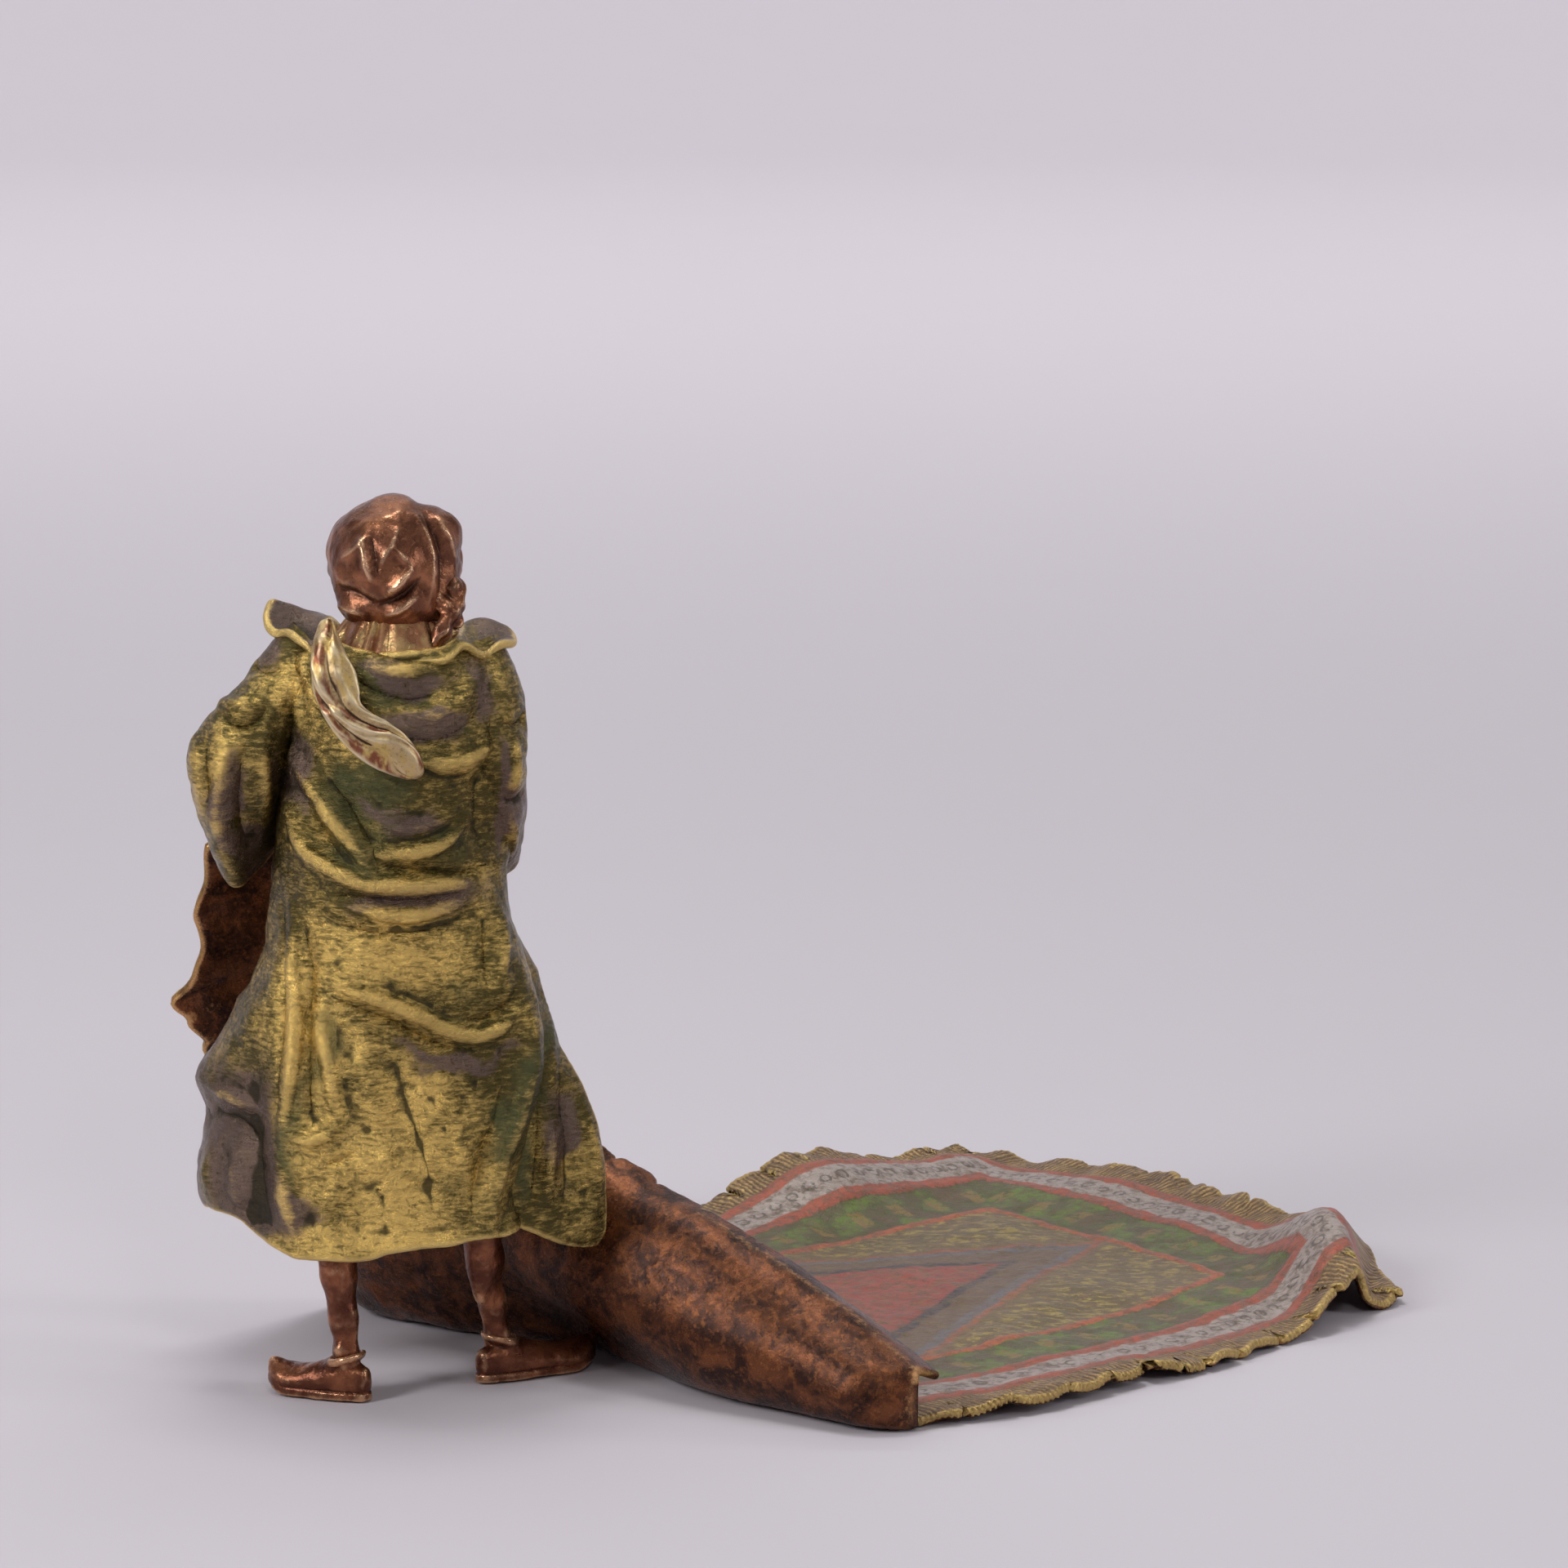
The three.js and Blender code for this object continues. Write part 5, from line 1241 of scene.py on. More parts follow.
def nape_ruffle():
    """The frilled lower edge of the head cloth, between the wrap and the collar."""
    turn = np.linspace(-0.12 * np.pi, 1.12 * np.pi, 420)
    climb = shares(16, 5.0, 0.6)
    a, v = np.meshgrid(turn, climb, indexing="ij")
    frill = np.sin(a * 19 + np.sin(a * 5) * 1.9) * (1 - v) ** 0.7 * (0.8 + 0.3 * np.sin(a * 7))
    radius = 7.0 + 5.0 * (1 - v) + frill * 0.8
    height = 127.6 + 7.2 * v + 0.35 * np.sin(a * 11) * (1 - v)
    grid = np.stack([0.4 + radius * np.cos(a), -0.6 + radius * np.sin(a) * 1.04, height], -1)
    sign = np.sign(grid_normals(grid)[200, 8, 1])
    points, faces, border, _ = leaf(grid, 0.5, out=sign)
    values = {"border": border}
    add_piece("nape_ruffle", points, faces, RUFFLE, ["head_cloth"], values, reach=0.8)


def knot_shape(p):
    loops = chain(p, [(-7.6, 0.6, 142.0, 1.3), (-9.2, 2.6, 139.0, 1.8), (-9.6, 3.8, 136.6, 1.6)], 0.8)
    lower_loop = chain(p, [(-6.8, 4.2, 137.4, 1.6), (-8.8, 5.0, 135.8, 1.5), (-9.6, 4.4, 133.6, 1.3)], 0.8)
    loops = melt(loops, lower_loop, 0.5)
    tail = chain(p, [(-8.4, 5.4, 134.6, 1.3), (-7.4, 7.0, 132.6, 1.4), (-6.2, 8.4, 130.6, 0.8)], 0.8)
    return melt(loops, tail, 0.5)


def knot():
    points, faces = sampled(knot_shape, (-14.2, -1.6, 129.8), (-6.0, 10.0, 144.6), 0.22)
    normals = vertex_normals(points, faces)
    creases = np.sin((points[:, 2] * 0.8 + points[:, 1] * 0.9) * 3.0 + noise(points, 2.0, 71) * 2.0)
    points = points + normals * (creases * 0.16)[:, None]
    add_piece("head_wrap_knot", points, faces, CLOTH, ["head_cloth_knot"], reach=0.7)


# ------------------------------------------------------------------ carpet: the lifted end
ROLL_START = np.array([-84.4, 24.3])
ROLL_END = np.array([12.3, -60.1])
ROLL_LENGTH = np.linalg.norm(ROLL_END - ROLL_START)
ALONG_ROLL = (ROLL_END - ROLL_START) / ROLL_LENGTH
OUT_OF_FIELD = np.array([-ALONG_ROLL[1], ALONG_ROLL[0]])
# Sections across the lifted end: share of the roll's length, then (shift along the roll, distance out,
# height).
LIFT_SECTIONS = [
    (0, [(0, 0, 0.9), (0, 4.2, 2.2), (0, 5.5, 5.5), (0, 2.8, 8.8), (0, -3, 9.6), (0, -9, 8.2)]),
    (0.15, [(0, 0, 0.9), (0, 5, 1.8), (0, 8, 6), (0, 7.5, 12), (0, 3.5, 16.5), (0, -2.2, 19.2),
            (0, -7.5, 17.6)]),
    (0.3, [(0, -0.5, 0.9), (0, 5.5, 1.7), (0, 10, 6), (0, 11.5, 13), (0, 8.5, 20.5), (0, 1.6, 27.2),
           (0, -3.5, 27.2)]),
    (0.45, [(0, -3, 0.9), (0, 1.5, 1.7), (0, 6.5, 7), (0, 12.5, 15), (0, 10.5, 25), (0, 3.4, 33.2),
            (0, -1.5, 34)]),
    (0.6, [(0, -5, 0.9), (0, -1.5, 1.9), (0, 3, 8), (-1, 11.5, 16), (-3, 11, 31), (-4.3, 4, 46)]),
    (0.72, [(0, -2, 0.9), (0, 3.5, 1.9), (0, 8.5, 9), (-3, 13, 24), (-7, 11.5, 48), (-10.2, 7.6, 74)]),
    (0.8, [(0, 0, 0.9), (0, 6, 1.8), (-1, 11, 9), (-5, 15.5, 28), (-10, 13.5, 58), (-14.3, 10.3, 89)]),
    (0.9, [(0, 0, 0.9), (0, 7, 1.8), (-1, 13, 10), (-4, 18, 30), (-8, 21, 60), (-10.6, 23.5, 90)]),
    (0.955, [(0, 0, 0.9), (0, 6, 2.6), (0, 13, 12), (-2, 22, 32), (-4, 31, 62), (-8.5, 34.2, 97)]),
    (1, [(0, 0, 0.9), (0, 5, 4), (0, 13.3, 15), (-1, 26, 36), (-1.4, 41.4, 58), (-9.1, 42.6, 91)]),
]
# The free edge beside the left hand, on the back plane: (z, x).
FREE_END = [
    (62, 30.4), (63, 31), (64, 33.5), (65.5, 35.5), (67.3, 36.2), (68.5, 38), (69.7, 38.5), (71, 37),
    (73, 35.5), (76, 34.3),
    (79, 33.3), (82, 33.7), (84.5, 34.5), (87, 34), (90, 32.8), (96.5, 32.3), (98.5, 31.5),
]
OUT_ON_GROUND = np.array([-0.759, -0.651])  # away from the roll, over the ground
ALONG_GROUND = np.array([0.651, -0.759])
NOSE = 0.07  # share of the roll taken by its rounded end
NOSE_LINE = -3.0  # distance out of the line on which the end closes


def lifted(u, v):
    """The middle of the lifted sheet: u runs along the roll, v from the ground to the free edge."""
    knots = [row[0] for row in LIFT_SECTIONS]
    columns = np.stack([along(section, v) for _, section in LIFT_SECTIONS])
    shift, out, height = np.moveaxis(interp(knots, columns, u), -1, 0)
    # the roll ends in a rounded nose: its section closes on its crest line
    nose = np.sqrt(np.clip(1 - (1 - np.asarray(u) / NOSE) ** 2, 0, 1))[:, None]
    nose = np.where(np.asarray(u)[:, None] < NOSE, nose, 1.0)
    out = np.where(out > NOSE_LINE, NOSE_LINE + (out - NOSE_LINE) * nose, out)
    run = np.asarray(u)[:, None] * ROLL_LENGTH + shift
    flat = ROLL_START + ALONG_ROLL * run[..., None] + OUT_OF_FIELD * out[..., None]
    return np.concatenate([flat, height[..., None]], -1)


def roll_line(u):
    """The foot of the lifted sheet in the field's own directions: distance out over the ground, and along."""
    foot = lifted(u, np.array([0.0]))[:, 0, :2] - ROLL_START
    return foot @ OUT_ON_GROUND, foot @ ALONG_GROUND


def tabs(run, seed, depth=2.2, spacing=9.5):
    """How far a ragged fringe is short of its full length: tufts parted by narrow notches."""
    place = run / spacing + noise(np.stack([run, run * 0, run * 0], -1), 17.0, seed) * 0.6
    tuft = np.floor(place)
    gap = np.abs(place - np.round(place)) * spacing
    level = hashed(tuft.astype(np.int64), tuft.astype(np.int64) * 0, tuft.astype(np.int64) * 0, seed + 5)
    slant = (place - tuft - 0.5) * (level - 0.5) * 1.6
    fine = noise(np.stack([run, run * 0, run * 0 + 3], -1), 1.3, seed + 9) * 0.35
    return depth * np.exp(-((gap / 0.55) ** 2)) * (0.4 + level) + level * 0.9 + slant + fine


PULL_FOLDS = [  # folds of the underside that run to the right hand
    (1.0, 1.8, 1.8, [(-22, 84), (-27, 72), (-34, 58), (-42, 44)]),
    (-0.9, 1.6, 1.6, [(-20, 78), (-26, 64), (-32, 50), (-38, 36)]),
]


def carpet_end():
    u = shares(330, ROLL_LENGTH)
    v = shares(130, 60.0)
    grid = lifted(u, v)
    run = u[:, None] * ROLL_LENGTH + 0 * v[None]
    # ragged rims: the free edge is short by the tabs, and so is the end beside the left hand
    length = np.linalg.norm(np.diff(grid, axis=1), axis=-1).sum(1)
    cut = tabs(u * ROLL_LENGTH, 3, depth=1.1) * 0.8 / length
    shorter = v[None] * (1 - cut[:, None] * smoothstep(0.75, 1, v)[None])
    for i in range(len(u)):
        grid[i] = interp(v, grid[i], shorter[i])
    x, z = on_back_plane(grid[-1])
    wanted = (pick(FREE_END, z) - x) * smoothstep(61, 66, z)
    grid[..., 0] += wanted[None] * smoothstep(0.86, 1, u)[:, None]
    normals = grid_normals(grid)
    outward = np.sign((normals[..., :2] @ OUT_OF_FIELD).mean())
    normals *= outward
    drop = smoothstep(0.5, 0.0, u)[:, None] * smoothstep(0.7, 1.0, v)[None]
    calm = 0.25 + 0.75 * smoothstep(0.5, 0.7, u)[:, None]
    ripple = np.sin(run * 0.33 + noise(grid, 20.0, 5) * 3) * 0.5 * smoothstep(0.25, 0.9, v)[None] * calm
    lumps = rough(grid, 7.0, 3, 83) * 0.4 * calm
    grid = grid + normals * (ripple + lumps)[..., None]
    grid[..., 2] -= 0.6 * drop
    normals = grid_normals(grid).reshape(-1, 3) * outward
    grid = carve(grid.reshape(-1, 3), normals, PULL_FOLDS).reshape(grid.shape)
    points, faces, border, side = leaf(grid, 0.85, out=outward, ends=(False, True))
    step = np.linalg.norm(np.diff(grid, axis=1), axis=-1)
    climbed = np.concatenate([np.zeros((len(u), 1)), np.cumsum(step, 1)], 1)
    to_end = climbed[:, -1:] - climbed
    edge = np.minimum(np.minimum(run, ROLL_LENGTH - run), to_end)
    along_edge = np.where(to_end < np.minimum(run, ROLL_LENGTH - run), run, climbed)
    # a painted highlight along the top line of the rolled part, fading out two thirds of the way to the hands
    top = np.argmax(grid[..., 2], axis=1)
    crest_at = climbed[np.arange(len(u)), top]
    crest_highlight = np.exp(-(((climbed - crest_at[:, None]) / 1.3) ** 2)) * smoothstep(0.66, 0.5, u)[:, None]
    values = on_both_sides(grid, {
        "edge": edge, "run": along_edge, "across": run - ROLL_LENGTH / 2, "crest_highlight": crest_highlight, "along": run,
        "out": roll_line(u)[0][:, None] - climbed,
    })
    from_nose = values.pop("along")
    # along the rolled part the ridges show neither rubbed metal nor painted highlight, and the rim no brass,
    # except at the bare tip
    dull = smoothstep(ROLL_LENGTH * 0.66, ROLL_LENGTH * 0.5, from_nose)
    bare_tip = smoothstep(9.0, 4.0, from_nose) * smoothstep(8.0, 8.8, points[:, 2])
    worn_and_lit = 1 - dull * (1 - bare_tip) * smoothstep(3.0, 1.5, border)
    border = border + 8.0 * dull * (1 - bare_tip)
    painted = (side[faces].mean(1) < 0.5) & (from_nose[faces].mean(1) > 2.5)
    values = {"border": border, "worn_and_lit": worn_and_lit, **values}
    add_piece("carpet_lifted_end", points, faces, [BACK, CARPET], ["carpet_raised_end"],
              values, slots=painted.astype(int))


# ------------------------------------------------------------------ carpet: the field on the ground
ABOVE_FLOOR = 0.02  # mm by which the lowest points clear the ground
FIELD_WIDTH = 127.0
# Place of the near edge along the roll, by the distance from the roll: it bulges towards the camera.
NEAR_EDGE = [(-20, 0), (0, 0), (12, -4), (38, -7), (70, -7), (95, -4), (112, 0), (140, 0)]
# Distance of the far edge from the roll, by the place along it: the near corner is drawn in by its fold.
FIELD_REACH = [(0, 121), (12, 127.5), (25, 134), (40, 138), (60, 139), (90, 138), (110, 133), (120, 129),
               (127, 125)]
# The diagonal fold at the near far corner: place along its crest and height, then the width of its outer
# side.
FOLD_START = np.array([106.5, 0.0])
FOLD_ALONG = np.array([0.566, 0.825])
FOLD_CREST = [(-6, 6.2), (0, 7.2), (10, 9.6), (20, 11.2), (28, 11.2), (36, 8.6), (46, 4.6), (60, 1.2),
              (75, 0)]
FOLD_OUTER = [(-6, 1.8), (4, 2.2), (14, 3.2), (24, 5.6), (60, 6.5)]
FOLD_INNER = 8.5
HALF_SHEET = 0.9
# Height of the curled edge on the far left, by the distance from the roll.
CURL = [(50, 0), (60, 1), (68, 4), (77, 7.4), (85, 8.2), (93, 7.2), (105, 5.4), (118, 3.4), (130, 1.6),
        (140, 1)]


def field_height(s, t):
    """Height of the carpet's middle over the ground. s runs out from the roll and t along it."""
    q = (s - FOLD_START[0]) * FOLD_ALONG[0] + (t - FOLD_START[1]) * FOLD_ALONG[1]
    d = (s - FOLD_START[0]) * FOLD_ALONG[1] - (t - FOLD_START[1]) * FOLD_ALONG[0]
    width = np.where(d < 0, FOLD_INNER, pick(FOLD_OUTER, q))
    fold = pick(FOLD_CREST, q) * np.exp(-(np.abs(d / width) ** 2.3))
    fringe_falls = 1 - 0.3 * smoothstep(95, 103, s) * smoothstep(115, 125, t)
    curl = pick(CURL, s) * smoothstep(96, 119, t) * fringe_falls
    by_far_end = smoothstep(34, 10, pick(FIELD_REACH, t) - s)
    rising = 2.6 * by_far_end * smoothstep(40, 60, t) * smoothstep(112, 96, t)
    place = np.stack([s, t, s * 0], -1)
    swell = (rough(place, 24.0, 3, 91) + 0.5) * 0.9 * smoothstep(0, 12, s)
    return HALF_SHEET + fold + curl + rising + np.clip(swell, 0, None)


LOBE_SPACING = 38  # mm between the shallow lobes of the near edge
NOTCH = 50.6  # mm from the roll to a deep notch in the near edge
FRINGE = 9.0  # mm of edge that the ragged tufts take up
CURLED_SPACING = 13  # mm between the small waves of the rim
PRESSED_LINES = [(9, 0.8), (19.4, 0.8), (33.2, 0.7)]  # mm from the edge, and how wide


def carpet_ground():
    columns = shares(250, 130.0, 0.9)
    rows = shares(250, FIELD_WIDTH, 0.9)
    v, u = columns[None] + 0 * rows[:, None], rows[:, None] + 0 * columns[None]
    reach = pick(FIELD_REACH, rows * FIELD_WIDTH)[:, None]
    foot_out, foot_along = roll_line(rows)
    start = foot_out[:, None]
    s_at = start + v * (reach - start)
    near = pick(NEAR_EDGE, s_at)
    t = near + u * (FIELD_WIDTH - near)
    lobes = 0.7 + 0.7 * np.sin(s_at * 2 * np.pi / LOBE_SPACING + 0.6)
    near_cut = tabs(s_at, 11, depth=3.0) + lobes + 3.4 * np.exp(-(((s_at - NOTCH) / 0.9) ** 2))
    far_cut = tabs(s_at, 17, depth=3.0)
    end_cut = tabs(t, 23, depth=2.4)
    by_near, by_far = smoothstep(FRINGE, 0, t - near), smoothstep(FIELD_WIDTH - FRINGE, FIELD_WIDTH, t)
    t = t + near_cut * by_near - far_cut * by_far
    s = s_at - end_cut * smoothstep(FRINGE, 0, reach - s_at)
    t = t + (foot_along[:, None] - u * FIELD_WIDTH) * smoothstep(FRINGE, 0, s - start)
    flat = ROLL_START + OUT_ON_GROUND * s[..., None] + ALONG_GROUND * t[..., None]
    height = field_height(s, t)
    from_side = np.minimum(t - near, FIELD_WIDTH - t)
    edge = np.minimum(from_side, reach - s)
    nearest_end = (reach - s) < from_side
    run = np.where(nearest_end, t, s)
    thread = (np.sin(run * 2 * np.pi / THREAD_SPACING) * 0.5 + 0.5) * smoothstep(8.2, 6.5, edge)
    place = np.stack([s, t, s * 0], -1)
    relief = rough(place, 2.4, 2, 97) * 0.16 + noise(place, 9.0, 99) * 0.18
    line = 0.25 * sum(np.exp(-(((edge - at) / wide) ** 2)) for at, wide in PRESSED_LINES)
    wave = 0.5 + 0.5 * np.sin(run * 2 * np.pi / CURLED_SPACING + noise(place, 16.0, 93) * 4)
    curled = wave * smoothstep(8, 0, edge) * 1.3
    away = smoothstep(0, 12, s - start)
    height = height + (np.maximum(relief, -0.1) + line + thread * 0.14 + curled) * away
    grid = np.concatenate([flat, height[..., None]], -1)
    sign = np.sign(grid_normals(grid)[..., 2].mean())
    points, faces, border, side = leaf(grid, 0.85, out=sign, ends=(False, True))
    points[:, 2] = np.maximum(points[:, 2], ABOVE_FLOOR)
    values = on_both_sides(grid, {"edge": edge, "run": run, "across": t - FIELD_WIDTH / 2, "out": s})
    values = {"border": border, **values, "crest_highlight": np.zeros(len(points)), "worn_and_lit": np.ones(len(points))}
    underside = side[faces].mean(1) < 0.5
    add_piece("carpet_ground", points, faces, [CARPET, BACK], ["carpet_field"], values,
              slots=underside.astype(int), reach=0.9)


# ------------------------------------------------------------------ arms and hands
FINGER_PITCH = 1.95
LEFT_FOREARM = [(26.2, -19, 97.2, 2.5), (27.4, -12, 99.8, 3.0), (28.3, -4, 102.5, 3.2)]
RIGHT_FOREARM = [(-14, -19, 91, 2.5), (-15, -12, 95.6, 2.9), (-15.8, -4, 99, 3.1)]


def hand_frame(u):
    """Where the free edge is gripped: a point of it, the way along it, the way to the figure, and up."""
    spot = lifted(np.array([u - 0.01, u, u + 0.01]), np.array([0.94, 1.0]))
    place = spot[1, 1]
    along_edge = spot[2, 1] - spot[0, 1]
    up = spot[1, 1] - spot[1, 0]
    up /= np.linalg.norm(up)
    along_edge -= up * (along_edge @ up)
    along_edge /= np.linalg.norm(along_edge)
    to_figure = np.cross(up, along_edge)
    if to_figure[1] < 0:
        to_figure, along_edge = -to_figure, -along_edge
    return place, along_edge, to_figure, up


def hand(name, grip, forearm, node):
    """A hand that holds the carpet at a share of the roll's length, with its forearm's (x, y, z, radius)."""
    place, edge, near, up = hand_frame(grip)
    axes = np.stack([edge, near, up], 1)
    wrist = place + near * 5.2 - up * 1.5

    def shape(p):
        q = (p - place) @ axes
        result = melt(
            ellipsoid(q, (0, 3.5, -0.2), (4.1, 1.9, 3.6)),
            chain(p, [(*wrist, 2.2)] + [tuple(row) for row in forearm], 1.5), 1.8,
        )
        for finger in range(4):
            a = (finger - 1.5) * FINGER_PITCH
            reach = 3.6 - 0.35 * (finger - 1.5) ** 2
            result = melt(result, chain(q, [
                (a * 0.95, 3.2, 1.0, 1.1), (a, 2.0, 2.3, 1.06), (a, -1.2, 2.3, 1.0), (a, -2.2, 0.2, 0.95),
                (a * 0.95, -2.0, -reach, 0.82),
            ], 0.25), 0.4)
        thumb = [(3.2, 4.0, -1.4, 1.35), (4.9, 3.2, -0.4, 1.2), (6.0, 2.2, 0.8, 1.0), (6.4, 1.9, 2.0, 0.85)]
        return melt(result, chain(q, thumb, 0.4), 0.6)

    ends = np.array([row[:3] for row in forearm] + [tuple(place)])
    low, high = ends.min(0) - 8.5, ends.max(0) + 8.5
    points, faces = sampled(shape, low, high, 0.27)
    points = roughened(points, faces, 1.6, 2, 7, 0.08)
    add_piece(name, points, faces, SKIN, [node], reach=0.8)


# ------------------------------------------------------------------ legs and slippers
LEFT_LEG = [(10.2, 4.0, 3, 2.0), (10.2, 4.0, 8, 1.55), (10.7, 3.6, 14, 1.7), (11.6, 2.8, 22, 2.2),
            (12.2, 2, 30, 2.9),
            (11.9, 1, 40, 3.6), (10.8, 0.5, 46.7, 4.2)]
RIGHT_LEG = [(-15.4, -8.6, 3, 2.0), (-14.9, -8.2, 8, 1.6), (-14.2, -7.0, 14, 1.8), (-13.4, -5.0, 22, 2.3),
             (-12.6, -2.8, 30, 3.1), (-11.2, -0.8, 40, 4.1), (-10.5, 0, 46.7, 4.5)]


LEFT_TOES, RIGHT_TOES = (0.905, -0.425), (-0.844, -0.536)  # which way each foot points


def leg(name, stations, node, toward_toe):
    toe = np.array(toward_toe)
    across = np.array([-toe[1], toe[0]])
    rows = np.asarray(stations, float)

    def shape(p):
        result = chain(p, stations, 3.0)
        calf = rows[3] * 0.5 + rows[4] * 0.5
        behind = calf[:3] - np.array([*toe * 1.0, 0])
        result = melt(result, ellipsoid(p, behind, (calf[3] * 0.75, calf[3] * 0.75, 11.0)), 3.0)
        ankle = rows[1]
        for sign in (-1, 1):
            bone = ankle[:2] + across * sign * 1.55 + toe * 0.3
            result = melt(result, ellipsoid(p, (*bone, 8.4 + 0.5 * sign), (0.8, 0.8, 1.0)), 0.9)
        tendon = ankle[:2] - toe * 1.5
        return melt(result, rod(p, (*tendon, 5.0), (*(rows[2][:2] - toe * 1.5), 15.0), 0.7, 0.6), 1.2)

    low = rows[:, :3].min(0) - 6.5
    high = rows[:, :3].max(0) + 6.5
    low[2], high[2] = 1.0, 46.0
    points, faces = sampled(shape, low, high, 0.3)
    points = roughened(points, faces, 3.0, 3, 5, 0.14)
    add_piece(name, points, faces, GLOSSY_BROWN, [node], reach=1.0)


# Along the foot: distance from the heel, height of the centre, half width, half height.
SLIPPER = [
    (-2.6, 3.4, 0.25, 0.4), (-2.2, 3.4, 1.2, 1.8), (-1.2, 3.5, 1.95, 2.7), (0.4, 3.6, 2.5, 3.2),
    (3, 3.6, 3.1, 3.5),
    (5.5, 3.4, 3.3, 3.2), (8, 3.0, 3.5, 2.8), (10.5, 2.7, 3.8, 2.5), (12.5, 2.7, 3.8, 2.4),
    (14.2, 3.0, 3.3, 2.4),
    (15.4, 3.4, 2.5, 2.3), (16.2, 3.9, 1.6, 1.8), (16.7, 4.3, 0.8, 1.1), (16.9, 4.6, 0.25, 0.4),
]


def slipper(name, heel, toward_toe, ankle, node, length=1.0):
    toe = np.array(toward_toe)
    across = np.array([-toe[1], toe[0]])
    rows = np.asarray(SLIPPER, float)

    def shape(p):
        f = (p[..., :2] - heel) @ toe / length
        w = (p[..., :2] - heel) @ across
        z = p[..., 2]
        at = interp(rows[:, 0], rows[:, 1:], f)
        radial = np.hypot(w / at[..., 1], (z - at[..., 0]) / at[..., 2])
        body = (radial - 1) * np.minimum(at[..., 1], at[..., 2]) * 0.9
        beyond = np.maximum(rows[0, 0] - f, f - rows[-1, 0])
        body = np.maximum(body, beyond)
        wide = np.abs(w) - (at[..., 1] * 0.97 + 0.1)
        sole = np.maximum(np.maximum(wide, np.abs(z - 0.95 - 1.6 * smoothstep(12, 17, f)) - 0.7), beyond)
        result = melt(body, sole, 0.25)
        top = p - np.array([*ankle, 6.9])
        ring = np.hypot(np.hypot(top[..., 0], top[..., 1]) - 2.7, top[..., 2] + (f - 3) * 0.3) - 0.7
        result = melt(result, ring, 1.3)
        throat = ellipsoid(p, (ankle[0], ankle[1], 8.2), (2.5, 2.5, 2.4))
        result = scoop(result, throat, 0.3)
        return scoop(result, z - 0.25, 0.3)

    tip = np.array(heel) + toe * 23
    low = np.array([*(np.minimum(heel, tip) - 5.5), -0.6])
    high = np.array([*(np.maximum(heel, tip) + 5.5), 9.4])
    points, faces = sampled(shape, low, high, 0.26)
    points = roughened(points, faces, 2.6, 3, 15, 0.12)
    points[:, 2] = np.maximum(points[:, 2], ABOVE_FLOOR)
    add_piece(name, points, faces, GLOSSY_BROWN, [node], reach=0.9)


# ------------------------------------------------------------------ tunic under the robe
# Levels: height, centre x, centre y, half width, half depth.
TUNIC = [
    (33, -0.5, -2, 18.3, 12.5), (47, -0.4, -2, 17.2, 12.2), (60, -0.3, -2, 16, 12), (75, -0.2, -2, 15, 11.3),
    (90, 0, -2, 14.2, 10.8), (105, 0, -2, 14, 10.5), (116, 0, -2, 13.5, 10), (124, 0, -2, 12, 9),
    (129, 0, -2, 8, 7.2),
    (130.7, 0, -2, 6.4, 6.2),
]


def tunic():
    levels = np.asarray(TUNIC, float)
    bottom, top = TUNIC[0][0], TUNIC[-1][0]
    z = np.concatenate([bottom + RIM_LINES, np.linspace(bottom + 0.9, top, 300)])
    at = interp(levels[:, 0], levels, z)
    angle = np.linspace(0, 2 * np.pi, 260, endpoint=False)
    a, r = np.meshgrid(angle, np.arange(len(z)), indexing="ij")
    c, s = np.cos(a), np.sin(a)
    h = z[r]
    skirt = smoothstep(88, 40, h)
    folds = (np.sin(a * 15 + np.sin(a * 3) * 2) * 0.6 + np.sin(a * 8 + 1.2) * 0.5) * (0.15 + 0.85 * skirt)
    sash = smoothstep(87.6, 88.8, h) * smoothstep(99.4, 98.2, h)
    wraps = np.abs(np.sin((h + 0.9 * np.sin(a * 2 + 0.5)) * np.pi / SASH_WINDING)) ** 0.7
    blouse = 1.1 * np.exp(-(((h - 102.5) / 3.0) ** 2)) + 0.9 * np.exp(-(((h - 85) / 3.0) ** 2))
    front = np.exp(-(((a - 1.5 * np.pi) / 0.09) ** 2)) * smoothstep(99.5, 101, h) * smoothstep(128, 126, h)
    grow = folds * (1 - sash) + sash * (1.2 + 0.55 * wraps) + blouse + front * 0.6 - 0.5
    x = at[:, 1][r] + (at[:, 3][r] + grow) * c
    y = at[:, 2][r] + (at[:, 4][r] + grow) * s
    grid = np.stack([x, y, h], -1)
    grid = grid + rough(grid, 5.0, 3, 17)[..., None] * 0.22 * np.stack([c, s, c * 0], -1)
    sign = np.sign((grid_normals(grid, True)[..., 0] * c).mean())
    points, faces, border, _ = leaf(grid, 0.8, closed=True, out=sign, ends=(True, False))
    turn = np.arctan2(points[:, 1] + 2, points[:, 0])
    values = {"border": border, "height": points[:, 2], "turn": turn * 14.0}
    add_piece("tunic_detailed", points, faces, TUNIC_PAINT, ["tunic"], values)


# ------------------------------------------------------------------ the statuette
ROBE = robe_paint()
CLOTH = copper_paint("head_cloth_copper", (0.37, 0.15, 0.072), (0.8, 0.5, 0.3), (0.15, 0.055, 0.028), 5.0)
GLOSSY_BROWN = copper_paint("leg_red_brown", (0.33, 0.12, 0.055), (0.82, 0.48, 0.27), (0.12, 0.038, 0.02))
RUFFLE = copper_paint("nape_gold_brown", (0.56, 0.38, 0.16), (0.92, 0.72, 0.4), (0.36, 0.16, 0.08), 3.0)
SCARF = scarf_paint()
BACK = underside_paint()
CARPET = carpet_paint()
TUNIC_PAINT = tunic_paint()
SKIN = skin_paint()
BRASS = brass_metal()

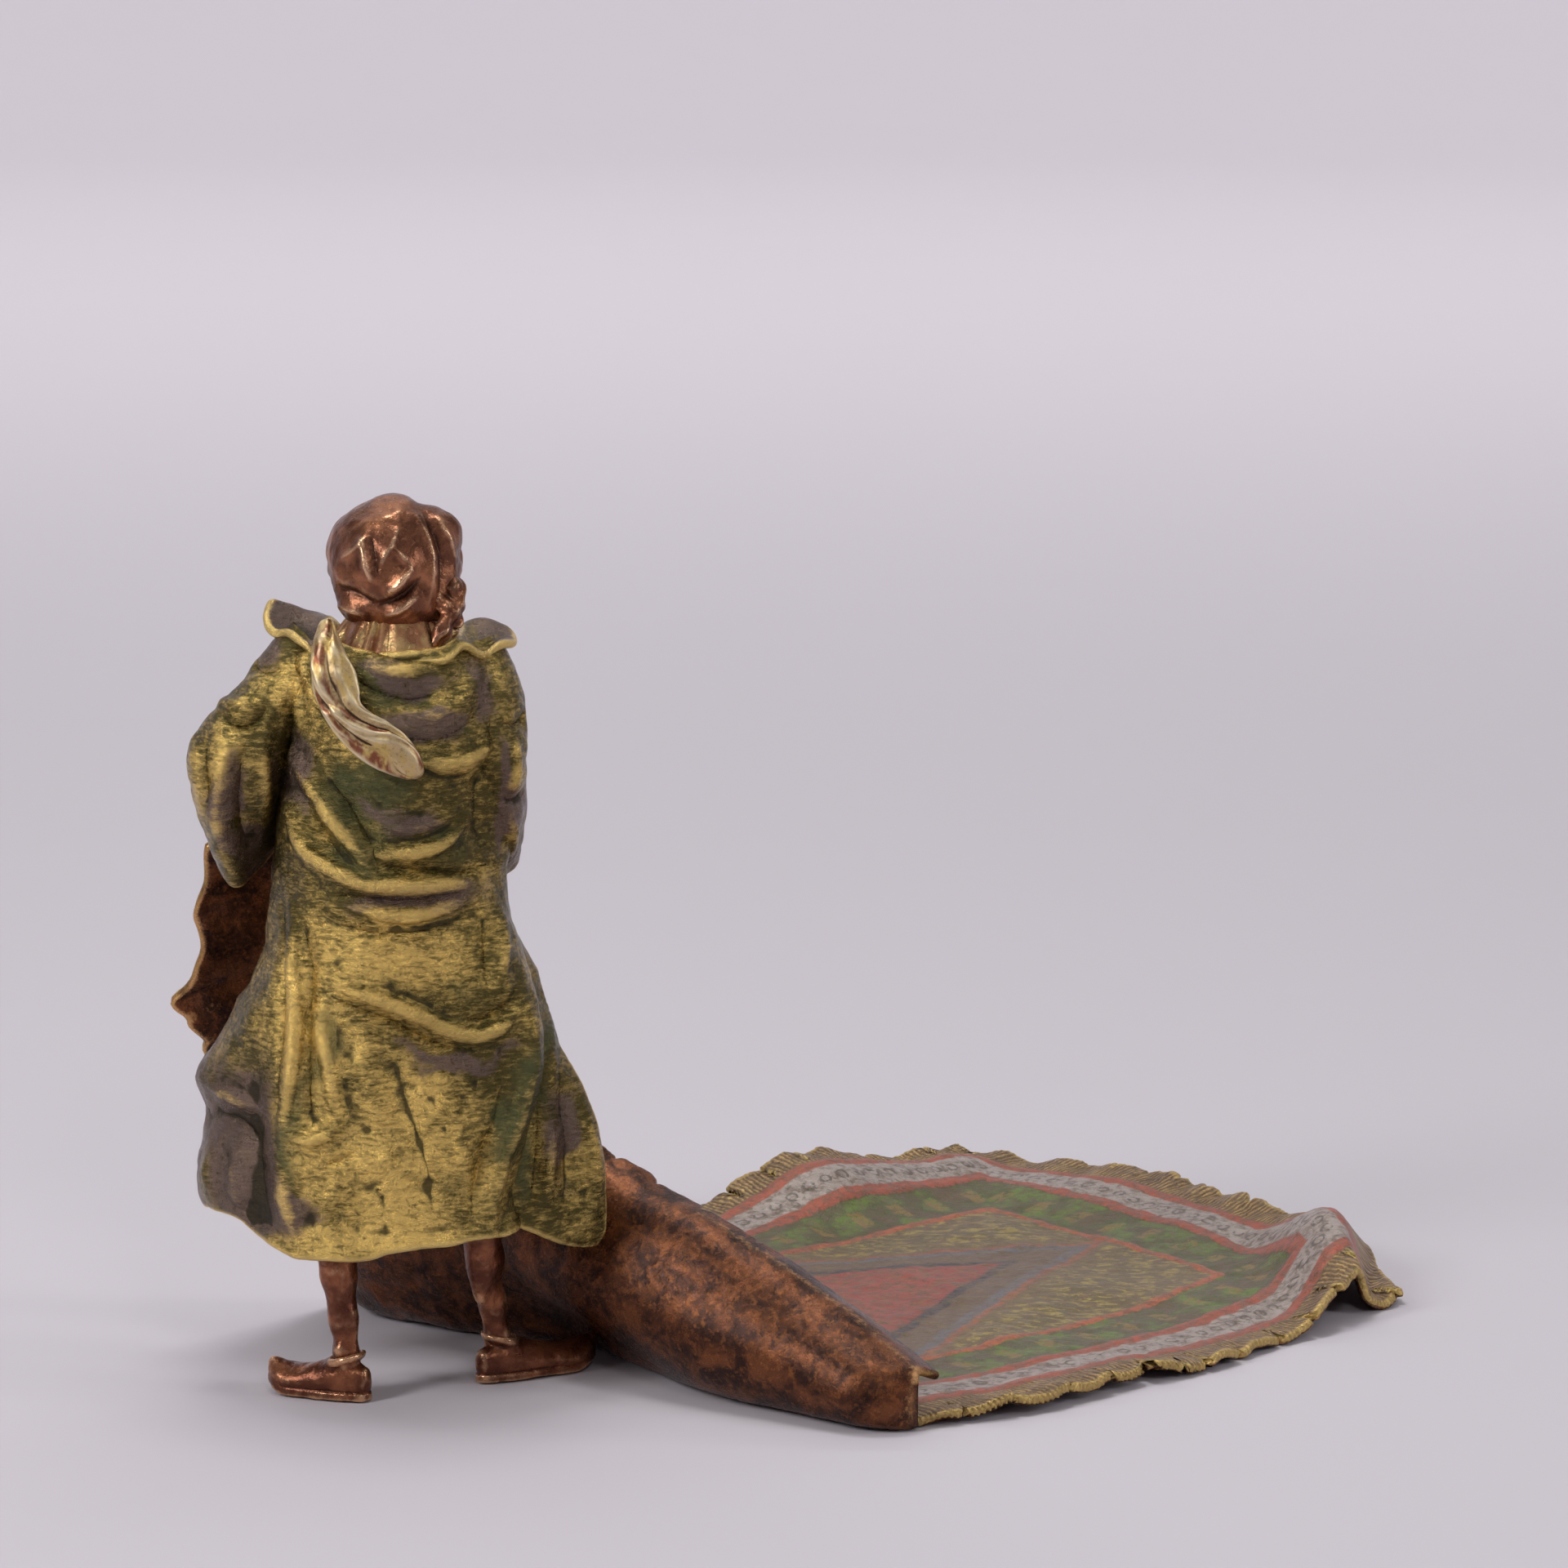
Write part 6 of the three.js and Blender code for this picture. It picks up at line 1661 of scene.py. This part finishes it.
robe_back()
robe_flap()
sleeve("left_sleeve_cloth", LEFT_SLEEVE, LEFT_SLEEVE_FOLDS, "left_sleeve", 1.5, 101)
sleeve("right_sleeve_cloth", RIGHT_SLEEVE, RIGHT_SLEEVE_FOLDS, "right_sleeve", -0.8, 103)
collar()
scarf()
face()
head_wrap()
nape_ruffle()
knot()
carpet_end()
carpet_ground()
hand("left_hand_grip", 0.955, LEFT_FOREARM, "left_hand")
hand("right_hand_grip", 0.8, RIGHT_FOREARM, "right_hand")
leg("left_shin", LEFT_LEG, "left_leg", LEFT_TOES)
leg("right_shin", RIGHT_LEG, "right_leg", RIGHT_TOES)
slipper("left_slipper_shoe", (8.4, 4.6), LEFT_TOES, (10.2, 4.0), "left_slipper")
slipper("right_slipper_shoe", (-14.0, -7.0), RIGHT_TOES, (-15.4, -8.5), "right_slipper", 1.2)
tunic()

for node in ("seam_solder", "neck_pin", "left_leg_pin", "right_leg_pin", "left_arm_pin", "right_arm_pin",
             "left_hand_rivet", "right_hand_rivet"):
    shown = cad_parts[node]
    shown.data.materials.clear()
    shown.data.materials.append(BRASS)


# ------------------------------------------------------------------ floor, light and camera
def metres(point):
    return tuple((np.asarray(point, float) + SHIFT) / 1000.0)


def plain(name, colour):
    p = Paint(name, roughness=0.9, metallic=0.0)
    tone = p.mix(p.noise(60.0, 2.0), tuple(c * 0.99 for c in colour), colour)
    return p.finish(tone, [(p.noise(2.0, 2.0), 0.01)])


FLOOR_RINGS = [0, 400, 1000, 1700]  # mm, on the flat part
FLOOR_RADIUS = 2300.0
FLOOR_BEND = 700.0
WALL_TOP = 2300.0
PAPER = (0.63, 0.59, 0.637)


def floor_bowl():
    """A pale floor that curves up all round into the background."""
    bend = np.linspace(0, np.pi / 2, 14)
    wall = FLOOR_RADIUS + FLOOR_BEND
    radius = np.concatenate([FLOOR_RINGS, FLOOR_RADIUS + FLOOR_BEND * np.sin(bend), [wall]])
    height = np.concatenate([[0] * len(FLOOR_RINGS), FLOOR_BEND * (1 - np.cos(bend)), [WALL_TOP]])
    angle = np.linspace(0, 2 * np.pi, 128, endpoint=False)
    turn, _ = np.meshgrid(angle, radius, indexing="ij")
    points = np.stack([radius * np.cos(turn), radius * np.sin(turn), height + 0 * turn], -1)
    faces = grid_faces(len(angle), len(radius), closed=True)
    floor = add_mesh("floor_bowl", points.reshape(-1, 3), faces, [plain("floor_paper", PAPER)])


LAMPS = [  # name, place and target in mm, size in m, power in W
    ("overhead", (40, -80, 900), (-30, -20, 50), (0.24, 0.2), 2.0),
    ("left_box", (700, 520, 620), (0, 0, 60), (0.2, 0.45), 4.6),
    ("right_box", (-850, 260, 420), (-20, 0, 50), (0.14, 0.5), 1.5),
    ("camera_fill", (-300, 1000, 800), (-20, 0, 60), (0.22, 0.16), 1.3),
    ("ceiling", (0, -300, 2900), (0, -400, 0), (3.6, 3.6), 25.0),
    ("far_floor", (0, -1500, 1500), (0, -2400, 0), (3.4, 0.8), 29.0),
]
WORLD_COLOUR = (0.92, 0.93, 1.0, 1.0)
WORLD_STRENGTH = 0.05


def lamp(name, place, target, size, power):
    data = bpy.data.lights.new(name, "AREA")
    data.shape = "RECTANGLE"
    data.size, data.size_y = size
    data.energy = power
    light = bpy.data.objects.new(name, data)
    light.location = metres(place)
    direction = np.array(metres(target)) - np.array(light.location)
    light.rotation_euler = Vector(direction).to_track_quat("-Z", "Y").to_euler()
    bpy.context.scene.collection.objects.link(light)


floor_bowl()
for row in LAMPS:
    lamp(*row)

world = bpy.data.worlds.new("studio")
world.use_nodes = True
world.node_tree.nodes["Background"].inputs[0].default_value = WORLD_COLOUR
world.node_tree.nodes["Background"].inputs[1].default_value = WORLD_STRENGTH
bpy.context.scene.world = world
bpy.context.scene.view_settings.view_transform = "Standard"

camera_data = bpy.data.cameras.new("camera")
camera_data.lens = CAMERA_LENS
camera_data.sensor_width = 36.0
camera_data.clip_end = 20.0
camera = bpy.data.objects.new("camera", camera_data)
camera.location = metres(CAMERA)
camera.rotation_euler = (math.pi / 2 - CAMERA_PITCH, 0.0, math.pi)
bpy.context.scene.collection.objects.link(camera)
bpy.context.scene.camera = camera
